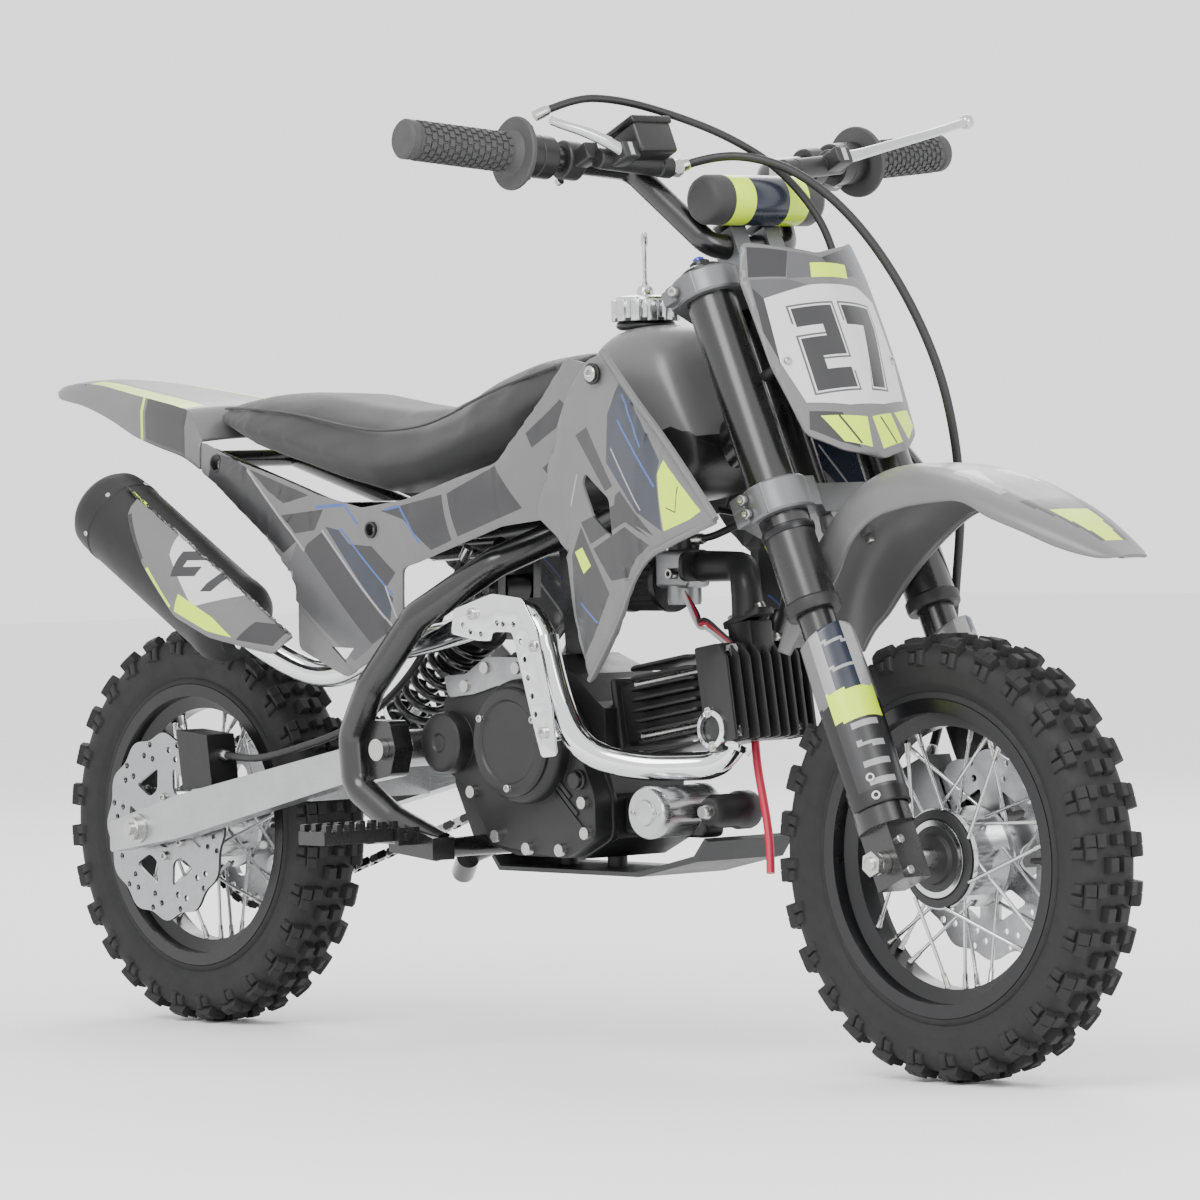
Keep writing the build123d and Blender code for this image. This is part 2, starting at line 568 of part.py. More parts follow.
def chain():
    """The closed chain as one band round both sprockets, just outside their teeth."""
    big = tooth_circle(REAR_TEETH) + 2.5
    small = tooth_circle(DRIVE_TEETH) + 2.5

    def loop(extra, width):
        around = flat_hull(big + extra, small + extra)
        return extrude(around, amount=width, dir=(0, 1, 0))

    def flat_hull(r0, r1):
        start = Vector(REAR_X, CHAIN_Y - CHAIN_WIDTH / 2, 0)
        stop = Vector(DRIVE_AXIS[0], CHAIN_Y - CHAIN_WIDTH / 2, DRIVE_AXIS[1])
        span = stop - start
        along = math.atan2(span.Z, span.X)
        open_angle = math.acos((r0 - r1) / span.length)
        top, low = along + open_angle, along - open_angle

        def on(centre, radius, angle):
            return centre + Vector(radius * math.cos(angle), 0, radius * math.sin(angle))
        back = ThreePointArc(on(start, r0, top), on(start, r0, along + math.pi), on(start, r0, low))
        front = ThreePointArc(on(stop, r1, low), on(stop, r1, along), on(stop, r1, top))
        return make_face([back, Line(back @ 1, front @ 0), front, Line(front @ 1, back @ 0)])
    return loop(9, CHAIN_WIDTH) - loop(0, CHAIN_WIDTH)


export("chain", chain())
CALIPER_X = REAR_X + 76


def rear_caliper():
    z = arm_z(CALIPER_X)
    y0, y1 = -REAR_DISC_Y - 22, -REAR_DISC_Y + 11
    body = flat([(CALIPER_X - 22, z + 23), (CALIPER_X + 22, z + 28), (CALIPER_X + 16, z + 74),
                 (CALIPER_X - 30, z + 78)], y0, y1)
    foot = flat([(CALIPER_X - 22, z + 21), (CALIPER_X + 22, z + 25.5), (CALIPER_X + 22, z + 34),
                 (CALIPER_X - 22, z + 32)], y0, y0 + 8)
    return body + foot - cross_rod(REAR_X, 0, -REAR_DISC_Y - 3, -REAR_DISC_Y + 3, DISC_R + 4)


export("rear_caliper", rear_caliper())

# ---- shock absorber ----
down = Vector(SHOCK_BOTTOM[0] - SHOCK_TOP[0], 0, SHOCK_BOTTOM[1] - SHOCK_TOP[1])
SHOCK_LENGTH = down.length
SHOCK = Plane(origin=(SHOCK_TOP[0], 0, SHOCK_TOP[1]), x_dir=(0, 1, 0), z_dir=down).location
SPRING_FROM, SPRING_TO = 58.0, SHOCK_LENGTH - 34.0
upper = rod((0, 0, 12), (0, 0, 118), 15) + rod((0, 0, 30), (0, 0, 54), 21)
upper += rod((0, 0, SPRING_FROM - 6), (0, 0, SPRING_FROM - 0.3), 26) + rod((-14, 0, 0), (14, 0, 0), 13)
upper -= rod((-30, 0, 0), (30, 0, 0), 5.05)
upper -= rod((0, 0, 60), (0, 0, 119), 7.08)
export("shock_body", SHOCK * upper)
lower_eye = rod((0, 0, 90), (0, 0, SHOCK_LENGTH - 10), 7)
lower_eye += rod((-14, 0, SHOCK_LENGTH), (14, 0, SHOCK_LENGTH), 12)
lower_eye += rod((0, 0, SPRING_TO + 0.3), (0, 0, SPRING_TO + 6), 26)
lower_eye -= rod((-30, 0, SHOCK_LENGTH), (30, 0, SHOCK_LENGTH), 5.6)
export("shock_rod", SHOCK * lower_eye)
export("shock_spring", SHOCK * rod((0, 0, SPRING_FROM), (0, 0, SPRING_TO), 25, 17))

# ---- engine ----
CASE = [(-86, 50), (-88, 108), (-62, 146), (-11, 168), (34, 168), (78, 152), (108, 128), (118, 122),
        (118, 46), (132, 44), (132, 7), (91, -12), (-2, -12), (-62, 2)]
COVER = [(-71, 128), (-40, 150), (-11, 166), (34, 166), (78, 130), (112, 84), (131, 46), (131, 8), (91, -11),
         (-2, -1), (-22, 21), (-40, 52), (-66, 62)]
crankcase = flat(CASE, CASE_RIGHT, CASE_LEFT)
crankcase -= cross_rod(*DRIVE_AXIS, CASE_LEFT - 12, CASE_LEFT + 1, 10)
crankcase += cross_rod(*DRIVE_AXIS, CASE_LEFT - 13, CHAIN_Y + 8, 8)
crankcase -= cross_rod(-50, -4, -104, 104, 9.3)
export("crankcase", crankcase)
cover_x, cover_z, cover_r = COVER_CIRCLE
clutch_cover = flat(COVER, CASE_RIGHT - 26, CASE_RIGHT - 0.2)
clutch_cover += cross_rod(cover_x, cover_z, CASE_RIGHT - 48, CASE_RIGHT - 26, cover_r)
clutch_cover += cross_rod(cover_x, cover_z, CASE_RIGHT - 53, CASE_RIGHT - 48, cover_r - 7)
clutch_cover += cross_rod(*DRIVE_AXIS, CASE_RIGHT - 44, CASE_RIGHT - 0.2, 28)
magneto = cross_rod(cover_x, cover_z, CASE_LEFT + 0.2, CASE_LEFT + 30, 58)
magneto += cross_rod(cover_x, cover_z, CASE_LEFT + 30, CASE_LEFT + 35, 50)
export("engine_covers", clutch_cover, magneto)
COVER_BOLTS = [(119, 40), (122, 13), (88, -3), (44, -3), (2, 7), (-36, 141), (-8, 158), (34, 158), (-30, 46)]
bolt_heads = [cross_rod(x, z, CASE_RIGHT - 32, CASE_RIGHT - 26, 5.5) for x, z in COVER_BOLTS]
export("chassis_bolts", pivot_bolt, cross_rod(*SHOCK_TOP, -31, 31, 5), *bolt_heads)

CYLINDER_TILT = 9.0
CYLINDER = Location((118, 0, 84), (0, -CYLINDER_TILT, 0))
FIN_COUNT = 7
cylinder = block(0.3, 128, -30, 30, 2, 60)
for n in range(FIN_COUNT):
    x = 34 + 13.5 * n
    cylinder += block(x, x + 3.5, -47, 47, -8, 66)
cylinder = cylinder - block(-1, 0.3, -60, 60, -20, 80)
cylinder = CYLINDER * cylinder
cylinder -= block(60, 118.3, -60, 60, 0, 200)
head = block(128.3, 160, -44, 44, -12, 74)
for n in range(4):
    head += block(128.3, 172, -52 + 26 * n, -44 + 26 * n, -10, 72)
head += block(136, 166, -14, 14, 74, 92)
head += block(132, 150, -50, -40, -20, 20)
export("cylinder", cylinder)
export("cylinder_head", CYLINDER * head)
STARTER = (212.0, 34.0, 23.0)
starter = cross_rod(STARTER[0], STARTER[1], -90, -18, STARTER[2])
starter += block(132 + FIT, 235, -44, -16, 10, 44)
starter += cross_rod(250, 34, -50, 0, 16)
export("starter_motor", starter)

manifold = bent_tube([(252.7, 0, 199), (248, 0, 229), (222, 10, 245), (196, 25, 246),
                      (167.8, 25, 246)], 13, 13)
carburettor = block(120, 167.5, 8, 42, 226, 262) + cross_rod(144, 218, 16, 34, 15)
carburettor += rod((144, 25, 262), (144, 25, 278), 14)
air_filter = rod((54, 40, 232), (119.7, 40, 232), 26)
export("intake", manifold, carburettor, air_filter)

# ---- exhaust ----
HEADER_R = HEADER_DIA / 2
HEADER = [(262, -30, 94), (257, -38, 75), (230, -52, 73), (190, -76, 73), (152, -108, 86), (128, -115, 130),
          (106, -115, 206), (60, -115, 210), (0, -100, 196), (-60, -82, 186), (-150, -80, 172),
          (-215, -80, 146), (-262, -99, 158), (-293, -124, 189)]
header = bent_tube(HEADER, 21, HEADER_R)
GUARD = [(142, 84), (136, 130), (118, 196), (100, 222), (60, 226), (8, 212), (4, 190), (40, 184), (58, 184),
         (60, 192), (86, 192), (96, 160), (112, 110), (122, 82)]
guard_y = -115 - HEADER_R - FIT
export("exhaust_header", header, flat(GUARD, guard_y - 2, guard_y, 2))
CAN = Plane(origin=(-505, -124, 311), x_dir=(0, 1, 0),
            z_dir=(math.cos(math.radians(CAN_SLOPE)), 0, -math.sin(math.radians(CAN_SLOPE)))).location
CAN_R = CAN_DIA / 2
can = rod((0, 0, 14), (0, 0, CAN_LENGTH - 14), CAN_R)
can += rod((0, 0, 0), (0, 0, 14), CAN_R - 8) + rod((0, 0, CAN_LENGTH - 14), (0, 0, CAN_LENGTH), 26)
can -= rod((0, 0, -1), (0, 0, 40), 12)
can -= rod((0, 0, CAN_LENGTH - 6), (0, 0, CAN_LENGTH + 10), HEADER_R + 0.1)
can = CAN * can
export("muffler", can - header)
SHIELD = [(-431, 357), (-408, 348), (-321, 319), (-232, 277), (-193, 235), (-206, 186), (-209, 171),
          (-293, 186), (-345, 205), (-389, 252), (-425, 299), (-436, 336)]
shield_ring = CAN * rod((0, 0, -60), (0, 0, CAN_LENGTH + 90), CAN_R + FIT + 2, CAN_R + FIT)
export("muffler_shield", flat(SHIELD, -200, -136) & shield_ring)

# ---- bodywork ----
PANEL_PLAN = [(-402, 84), (-341, 92), (-269, 99), (-210, 104), (-146, 107), (-84, 107), (-10, 105), (96, 104),
              (175, 104)]
PANEL_TOP = [(-402, 367), (-341, 348), (-269, 331), (-210, 315), (-146, 303), (-84, 310), (-10, 330),
             (38, 341), (96, 393), (134, 432)]
PANEL_LOW = [(176, 424), (152, 398), (116, 292), (46, 285), (-26, 265), (-85, 248), (-90, 196), (-125, 168),
             (-176, 148), (-250, 174), (-244, 232), (-293, 275), (-378, 327), (-402, 338)]
SHROUD_PLAN = [(88, 107.4), (112, 107.4), (141, 110), (175, 116), (214, 124), (255, 132), (320, 141),
               (372, 145)]
SHROUD = [(99, 294), (139, 402), (172, 429), (203, 436), (250, 395), (295, 360), (345, 312), (369, 288),
          (255, 253), (214, 191), (169, 147), (146, 201), (141, 258)]
WINDOW = [(173, 331), (213, 308), (217, 274), (186, 293), (168, 322)]


def skin(outline, plan, side, thick):
    """A thin upright moulding: its side view cut from a strip that follows the plan curve."""
    inner = [(x, y - thick) for x, y in reversed(plan)]
    strip = standing([(x, side * y) for x, y in plan + inner], 0, 600)
    y0, y1 = sorted((side * 60, side * 180))
    return flat(outline, y0, y1) & strip


def side_panel(side):
    panel = skin(PANEL_TOP + PANEL_LOW, PANEL_PLAN, side, PANEL_THICK)
    for x, z, radius in ((-375, 346, 8), (-129, 283, 7)):
        panel -= cross_rod(x, z, *sorted((side * 60, side * 160)), radius)
    panel -= flat([(-196, 176), (-159, 175), (-176, 161)], *sorted((side * 60, side * 160)))
    return panel


def shroud(side):
    return skin(SHROUD, SHROUD_PLAN, side, PANEL_THICK) - flat(WINDOW, *sorted((side * 60, side * 180)))


export("side_panel_right", side_panel(-1))
export("side_panel_left", side_panel(1))
export("shroud_right", shroud(-1))
export("shroud_left", shroud(1))
TAIL_TOP = [(-713, 424), (-690, 428), (-633, 431), (-540, 420), (-440, 404), (-424, 400)]
TAIL_EDGE = [(-424, 388), (-402.2, 366), (-402.2, 340), (-448, 356), (-526, 375), (-612, 402), (-716, 419)]
TAIL_PLAN = [(-720, 14), (-690, 32), (-612, 52), (-526, 72), (-448, 83), (-403, 87)]
low_tail = min(z for x, z in TAIL_EDGE)
tail = flat(TAIL_TOP + TAIL_EDGE, -200, 200)
tail &= standing(TAIL_PLAN + [(x, -y) for x, y in reversed(TAIL_PLAN)], low_tail - 10, 500)
hollow = [(x, y - PANEL_THICK) for x, y in TAIL_PLAN[1:]] + [(-390, TAIL_PLAN[-1][1] - PANEL_THICK)]
hollow_side = [(x, z - PANEL_THICK) for x, z in TAIL_TOP[1:]] + [(-390, 362), (-390, 250), (-690, 250)]
tail -= (flat(hollow_side, -200, 200) & standing(hollow + [(x, -y) for x, y in reversed(hollow)], 200, 500))
export("tail_fender", tail)

SEAT = [(-421, 42, 389, 392, 396), (-402, 66, 374, 380, 403), (-341, 84, 354, 366, 407),
        (-269, 92, 337, 350, 404), (-206, 97, 321, 340, 394), (SEAT_POST[0], 100, SEAT_POST[1], 335, 387),
        (-84, 100, 316, 342, 389), (-12, 98, 336, 362, 414), (40, 92, 350, 385, 431),
        (80, 72, 384, 410, 437), (98, 52, 404, 425, 439)]


def seat():
    sections = []
    for x, half, low, edge, top in SEAT:
        points = [(half, low), (half, edge), (0.72 * half, top - 0.3 * (top - edge)), (0, top)]
        ring = points + [(-y, z) for y, z in reversed(points[:-1])]
        sections.append(make_face(Polyline(*[Vector(x, y, z) for y, z in ring], close=True)))
    return loft(sections, ruled=True)


export("seat", seat())
TANK = [(-40, 320), (30, 334), (60, 358), (100, 394), (110, 448), (128, 461), (186, 462), (200, 458),
        (244, 352), (218, 306), (150, 300), (-30, 288)]
TANK_PLAN = [(-60, 46), (60, 60), (120, 70), (200, 62), (270, 40)]
tank = flat(TANK, -200, 200) & standing(TANK_PLAN + [(x, -y) for x, y in reversed(TANK_PLAN)], 200, 600)
tunnel = bent_tube(SPINE, 60, SPINE_DIA / 2 + FIT)
tank -= tunnel
tank -= flat([(-80, 270), (-80, 306), (62, 332), (77, 270)], -31, 31)
CAP_X, CAP_Z = 127.0, 460.0
tank += rod((CAP_X, 0, CAP_Z - 8), (CAP_X, 0, CAP_Z + 6), 24)
tank -= rod((CAP_X, 0, CAP_Z - 50), (CAP_X, 0, CAP_Z + 10), 19)
export("fuel_tank", tank)
cap = rod((CAP_X, 0, CAP_Z + 4), (CAP_X, 0, CAP_Z + 27), CAP_DIA / 2)
cap -= rod((CAP_X, 0, CAP_Z + 3), (CAP_X, 0, CAP_Z + 7), 25)
cap += rod((CAP_X, 0, CAP_Z + 27), (CAP_X, 0, CAP_Z + 36), 5)
export("fuel_cap", cap, rod((CAP_X, 0, CAP_Z + 36.2), (CAP_X + 2, 0, CAP_Z + 84), 3.2))

SKID = [(-36, -14), (-26, -26), (160, -26), (236, -10), (250, 8), (246, 11), (232, -5), (157, -22),
        (-24, -22), (-33, -12)]
skid = flat(SKID, -52, 52)
for x in (10, 76):
    skid += rod((x, 0, -22), (x, 0, -12 - FIT), 9)
export("skid_plate", skid)


# ---- controls at the rider's feet ----
def foot_peg(side):
    y0, y1 = sorted((side * (PEG_Y + 10), side * 226))
    body = block(PEG_X[0], PEG_X[1], y0, y1, PEG_Z - 4, PEG_Z + 8)
    for n in range(6):
        y0, y1 = sorted((side * (146 + 13 * n), side * (154 + 13 * n)))
        body -= block(PEG_X[0] + 7, PEG_X[1] - 7, y0, y1, -20, 40)
    eye = rod((PEG_X[0], side * PEG_Y, PEG_Z), (PEG_X[1], side * PEG_Y, PEG_Z), 7.5)
    eye += block(PEG_X[0], PEG_X[1], *sorted((side * PEG_Y, side * (PEG_Y + 11))), PEG_Z - 4, PEG_Z + 7)
    for n in range(7):
        y = side * (143 + 13 * n)
        for x in (PEG_X[0], PEG_X[1] - 6):
            body += block(x, x + 6, y - 3, y + 3, PEG_Z + 8, PEG_Z + 14)
    pin = rod((PEG_X[0] - 9, side * PEG_Y, PEG_Z), (PEG_X[1] + 9, side * PEG_Y, PEG_Z), 4)
    return body + eye + pin


export("foot_peg_right", foot_peg(-1))
export("foot_peg_left", foot_peg(1))
stand_x, stand_z = STAND_PIVOT
stand = rod((stand_x, 143, stand_z), (-300, 150, -34), 8) + rod((-292, 142, -34), (-318, 158, -50), 11)
stand += cross_rod(stand_x, stand_z, STAND_FACE + FIT, STAND_FACE + 14, 13)
stand -= cross_rod(stand_x, stand_z, STAND_FACE - 5, STAND_FACE + 40, STAND_PIN_R + RUN)
export("side_stand", stand)

# ---- hoses and cables ----
export("overflow_hose", cord([(263, -5, 94.3), (264, -5, 82), (268, -6, 64), (274, -7, 44), (281, -9, 22),
                              (287, -12, 0), (291, -16, -20)], 3.8, "overflow_hose"))
front_hose = cord([(236, -60.6, 594), (250, -40, 603), (282, -16, 604), (320, 10, 587), (356, 36, 548),
                   (392, 56, 490), (422, 70, 420), (428, 84, 354), (420, 97, 290), (405, 104, 228),
                   (400, 102, 174), (405, 88, 130), (413, 70, 102), (421, 52, 79.8)], 4, "front_brake_hose")
export("front_brake_hose", front_hose)
throttle_cable = cord([(190, -181, 640), (202, -150, 655), (216, -112, 654), (236, -70, 642), (262, -24, 622),
                       (290, 14, 592), (326, 34, 540), (338, 38, 480), (320, 40, 428), (294, 42, 386),
                       (274, 42, 342), (254, 40, 310), (226, 36, 290), (196, 29, 278), (176, 25.5, 271),
                       (158.6, 25, 270)], 3.5, "throttle_cable")
export("throttle_cable", throttle_cable)
rear_hose = cord([(-50, -61, 264), (-68, -62, 238), (-94, -61, 194), (-128, -66, 148), (-168, -80, 112),
                  (-214, -83, 94), (-264, -83, 82), (-312, -82, 72), (-356, -76, 68),
                  (-403, -68, 72)], 3.5, "rear_brake_hose")
export("rear_brake_hose", rear_hose)
print("written", len(os.listdir("parts")))
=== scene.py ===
"""A child-size petrol dirt bike: its finished surfaces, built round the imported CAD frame."""
import math

import bmesh
import bpy
from mathutils import Matrix, Vector


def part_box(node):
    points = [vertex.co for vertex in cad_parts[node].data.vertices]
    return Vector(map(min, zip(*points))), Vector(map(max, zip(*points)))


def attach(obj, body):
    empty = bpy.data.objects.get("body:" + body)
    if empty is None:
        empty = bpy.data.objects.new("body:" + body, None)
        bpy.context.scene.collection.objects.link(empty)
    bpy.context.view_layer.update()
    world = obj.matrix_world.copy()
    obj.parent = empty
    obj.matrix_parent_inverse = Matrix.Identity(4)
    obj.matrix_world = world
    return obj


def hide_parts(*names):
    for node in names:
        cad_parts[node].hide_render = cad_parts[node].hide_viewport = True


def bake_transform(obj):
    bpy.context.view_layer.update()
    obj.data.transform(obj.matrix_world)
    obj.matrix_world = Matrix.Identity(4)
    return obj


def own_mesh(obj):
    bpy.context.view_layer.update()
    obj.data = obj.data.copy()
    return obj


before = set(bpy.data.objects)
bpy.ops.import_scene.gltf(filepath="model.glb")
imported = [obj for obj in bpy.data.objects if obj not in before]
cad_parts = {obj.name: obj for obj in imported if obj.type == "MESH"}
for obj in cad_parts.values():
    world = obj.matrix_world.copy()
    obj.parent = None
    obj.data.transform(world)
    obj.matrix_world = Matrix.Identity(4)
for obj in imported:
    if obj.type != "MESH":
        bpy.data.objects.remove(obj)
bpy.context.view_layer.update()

bl_info = {
    "name": "Dirt bike finish",
    "version": (1, 0, 0),
    "blender": (4, 5, 0),
    "location": "View3D > Sidebar > Dirt bike",
    "description": "Builds the moulded, cast, padded and rubber pieces of a small dirt bike",
    "category": "Object",
}

# Lengths below are millimetres, measured from the line through both axles.
AXLE_HEIGHT = 190.0
TO_ROW = Matrix.Translation((0, 0, AXLE_HEIGHT / 1000)) @ Matrix.Scale(0.001, 4)


def middle(node):
    """The middle of a CAD node's box, in millimetres."""
    low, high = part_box(node)
    centre = (low + high) / 2 * 1000
    return Vector((centre.x, centre.y, centre.z - AXLE_HEIGHT))


FRONT_X = middle("front_tyre").x
REAR_X = middle("rear_tyre").x
RAKE = 24.2
SIDE = Matrix(((1, 0, 0, 0), (0, 0, 1, 0), (0, 1, 0, 0), (0, 0, 0, 1)))


def tilted(origin, degrees):
    """A frame whose x leans up by some degrees in the bike's middle plane."""
    return Matrix.Translation(origin) @ Matrix.Rotation(-math.radians(degrees), 4, "Y")


def aimed(origin, direction):
    """A frame whose z points along a direction."""
    return Matrix.Translation(origin) @ Vector(direction).to_track_quat("Z", "Y").to_matrix().to_4x4()


def side(y=0.0, x=0.0, z=0.0):
    """A frame with its x and y in the bike's side view and its z out to the rider's left."""
    return Matrix.Translation((x, y, z)) @ SIDE


FORK = tilted((FRONT_X, 0, 0), RAKE)
CYLINDER = tilted((118, 0, 84), 9)
CAN = aimed((-505, -124, 311), (math.cos(math.radians(30)), 0, -0.5))


# ---- colours and finishes ----
def linear(code):
    """An sRGB hex colour as the linear values that a shader takes."""
    parts = [int(code[i:i + 2], 16) / 255 for i in (0, 2, 4)]
    return tuple(c / 12.92 if c < 0.04045 else ((c + 0.055) / 1.055) ** 2.4 for c in parts)


# Each finish: colour, second colour, metallic, roughness, roughness spread, mottle in mm,
# grain in mm, grain depth in mm, coat, edge rounding in mm.
FINISHES = {
    # injection-moulded polypropylene: satin, with a faint waxy mottle
    "moulded_grey_plastic": ("646464", "5E5E5E", 0, 0.38, 0.08, 40, 0.9, 0.010, 0.12, 0.6),
    # printed film over the mouldings: flatter and a little glossier than the plastic
    "printed_dark_film": ("232325", "29292B", 0, 0.34, 0.06, 25, 1.2, 0.006, 0.2, 0),
    "printed_mid_film": ("48484A", "4E4E50", 0, 0.34, 0.06, 25, 1.2, 0.006, 0.2, 0),
    "printed_light_film": ("8E8E90", "888889", 0, 0.34, 0.06, 25, 1.2, 0.006, 0.2, 0),
    "printed_white_film": ("C4C4C5", "BEBEC0", 0, 0.32, 0.06, 30, 1.2, 0.006, 0.25, 0),
    "printed_lime_film": ("CFEE1E", "C4E416", 0, 0.34, 0.06, 20, 1.2, 0.006, 0.2, 0),
    "printed_blue_film": ("34559A", "2C4880", 0, 0.34, 0.06, 20, 1.2, 0.006, 0.2, 0),
    "printed_navy_film": ("191E2A", "202636", 0, 0.28, 0.06, 30, 1.2, 0.006, 0.3, 0),
    # vulcanised rubber: dull, with a bloom that greys it in patches
    "vulcanised_tyre_rubber": ("0B0B0C", "121213", 0, 0.72, 0.12, 18, 0.8, 0.03, 0, 0),
    "moulded_grip_rubber": ("3E3E3F", "363637", 0, 0.66, 0.1, 14, 0.8, 0.03, 0, 0),
    "extruded_hose_rubber": ("121213", "1A1A1B", 0, 0.5, 0.1, 12, 0.6, 0.01, 0, 0),
    "red_silicone_hose": ("B8203E", "A81C38", 0, 0.42, 0.08, 10, 0.6, 0.01, 0.1, 0),
    # gloss black paint over steel tube
    "painted_black_steel": ("0D0D0E", "131314", 0, 0.28, 0.08, 30, 2.5, 0.012, 0.5, 0.8),
    "anodised_black_aluminium": ("101011", "17171A", 0.35, 0.3, 0.08, 25, 0.9, 0.006, 0.15, 0.5),
    # black powder coat over a sand casting: small soft pits
    "coated_black_casting": ("101011", "161617", 0.1, 0.48, 0.1, 18, 1.1, 0.05, 0.1, 1.0),
    "coated_grey_casting": ("1E1E1F", "262627", 0.2, 0.5, 0.1, 18, 1.1, 0.05, 0.1, 0.8),
    # sand-cast and tumbled aluminium
    "cast_bare_aluminium": ("A2A3A4", "8E8F90", 0.9, 0.42, 0.12, 12, 1.0, 0.04, 0, 0.8),
    "polished_aluminium": ("C9CACB", "BABBBC", 1, 0.2, 0.1, 20, 0.7, 0.005, 0, 0.6),
    "chromed_steel": ("E2E3E4", "D5D6D8", 1, 0.07, 0.05, 30, 0.8, 0.003, 0, 0.5),
    "zinc_plated_steel": ("C2C2C0", "AFAFAC", 1, 0.28, 0.1, 8, 0.6, 0.008, 0, 0.4),
    "ground_disc_steel": ("A9AAAB", "989A9C", 1, 0.3, 0.12, 9, 0.7, 0.01, 0, 0.3),
    "painted_silver_clamp": ("6E6F71", "68696B", 0.6, 0.4, 0.1, 15, 0.9, 0.02, 0.1, 1.0),
    "matt_black_silencer": ("0D0D0E", "131314", 0.1, 0.55, 0.1, 25, 0.9, 0.03, 0, 0.8),
    "moulded_black_plastic": ("0C0C0D", "121213", 0, 0.42, 0.08, 20, 0.9, 0.02, 0.1, 0.7),
    "dark_grey_skid_plate": ("2C2D2E", "262728", 0.1, 0.48, 0.1, 30, 1.0, 0.02, 0.05, 0.6),
    "blue_anodised": ("2A3FA8", "24378F", 0.6, 0.3, 0.08, 20, 0.8, 0.006, 0.2, 0.3),
    "red_button_plastic": ("A81C1C", "9A1818", 0, 0.35, 0.05, 8, 0.8, 0.01, 0.2, 0.3),
    "open_cell_filter_foam": ("1B1B1D", "2A2A2C", 0, 0.95, 0.03, 3, 1.2, 0.5, 0, 0),
}


def add(tree, kind, inputs=(), **settings):
    """One shader node, with its settings and what its sockets hold or take."""
    made = tree.nodes.new("ShaderNode" + kind)
    for key, value in settings.items():
        setattr(made, key, value)
    for socket, value in dict(inputs).items():
        if isinstance(value, bpy.types.NodeSocket):
            tree.links.new(value, made.inputs[socket])
        else:
            made.inputs[socket].default_value = value
    return made


def start_material(name):
    made = bpy.data.materials.new(name)
    made.use_nodes = True
    tree = made.node_tree
    tree.nodes.clear()
    coordinates = add(tree, "TexCoord").outputs["Object"]
    return made, tree, coordinates


def finish(name):
    """A named finish, made when a piece first asks for it."""
    if name in bpy.data.materials:
        return bpy.data.materials[name]
    if name == "grained_seat_vinyl":
        return seat_vinyl()
    if name in BRUSHED:
        return brushed(name)
    colour, second, metallic, rough, spread, mottle, grain, depth, coat, edge = FINISHES[name]
    made, tree, at = start_material(name)
    patches = add(tree, "TexNoise", {"Vector": at, "Scale": 1000 / mottle, "Detail": 4.0, "Roughness": 0.6})
    mix = add(tree, "Mix", {0: patches.outputs["Fac"], 6: (*linear(colour), 1), 7: (*linear(second), 1)},
              data_type="RGBA")
    shine = add(tree, "MapRange", {"Value": patches.outputs["Fac"], "From Min": 0.3, "From Max": 0.7,
                                   "To Min": rough - spread / 2, "To Max": rough + spread / 2})
    speckle = add(tree, "TexNoise", {"Vector": at, "Scale": 1000 / grain, "Detail": 3.0, "Roughness": 0.55})
    bump = add(tree, "Bump", {"Height": speckle.outputs["Fac"], "Distance": depth / 1000, "Strength": 1.0})
    if edge:
        soft = add(tree, "Bevel", {"Radius": edge / 1000}, samples=4)
        tree.links.new(soft.outputs["Normal"], bump.inputs["Normal"])
    shader = add(tree, "BsdfPrincipled", {
        "Base Color": mix.outputs[2], "Metallic": float(metallic), "Roughness": shine.outputs["Result"],
        "Coat Weight": float(coat), "Coat Roughness": 0.18, "Normal": bump.outputs["Normal"]})
    add(tree, "OutputMaterial", {"Surface": shader.outputs["BSDF"]})
    return made


# Extruded or drawn metal with fine lines along it: colour, second colour, roughness, line pitch in mm
# across, and the stretch along each axis.  Real lines are finer than the render can show.
BRUSHED = {
    "brushed_swingarm_aluminium": ("B9BABB", "A3A5A6", 0.3, 0.9, (0.02, 1, 1)),
    "brushed_starter_aluminium": ("C4C5C6", "B2B3B5", 0.26, 0.9, (1, 0.03, 1)),
}


def brushed(name):
    colour, second, rough, pitch, stretch = BRUSHED[name]
    made, tree, at = start_material(name)
    scaled = add(tree, "Mapping", {"Vector": at, "Scale": stretch})
    lines = add(tree, "TexNoise", {"Vector": scaled.outputs["Vector"], "Scale": 1000 / pitch, "Detail": 3.0})
    clouds = add(tree, "TexNoise", {"Vector": at, "Scale": 40.0, "Detail": 3.0})
    mix = add(tree, "Mix", {0: clouds.outputs["Fac"], 6: (*linear(colour), 1), 7: (*linear(second), 1)},
              data_type="RGBA")
    shine = add(tree, "MapRange", {"Value": lines.outputs["Fac"], "From Min": 0.3, "From Max": 0.7,
                                   "To Min": rough - 0.06, "To Max": rough + 0.08})
    soft = add(tree, "Bevel", {"Radius": 0.0008}, samples=4)
    bump = add(tree, "Bump", {"Height": lines.outputs["Fac"], "Distance": 0.00001, "Strength": 1.0,
                              "Normal": soft.outputs["Normal"]})
    shader = add(tree, "BsdfPrincipled", {"Base Color": mix.outputs[2], "Metallic": 1.0,
                                          "Roughness": shine.outputs["Result"],
                                          "Normal": bump.outputs["Normal"]})
    add(tree, "OutputMaterial", {"Surface": shader.outputs["BSDF"]})
    return made


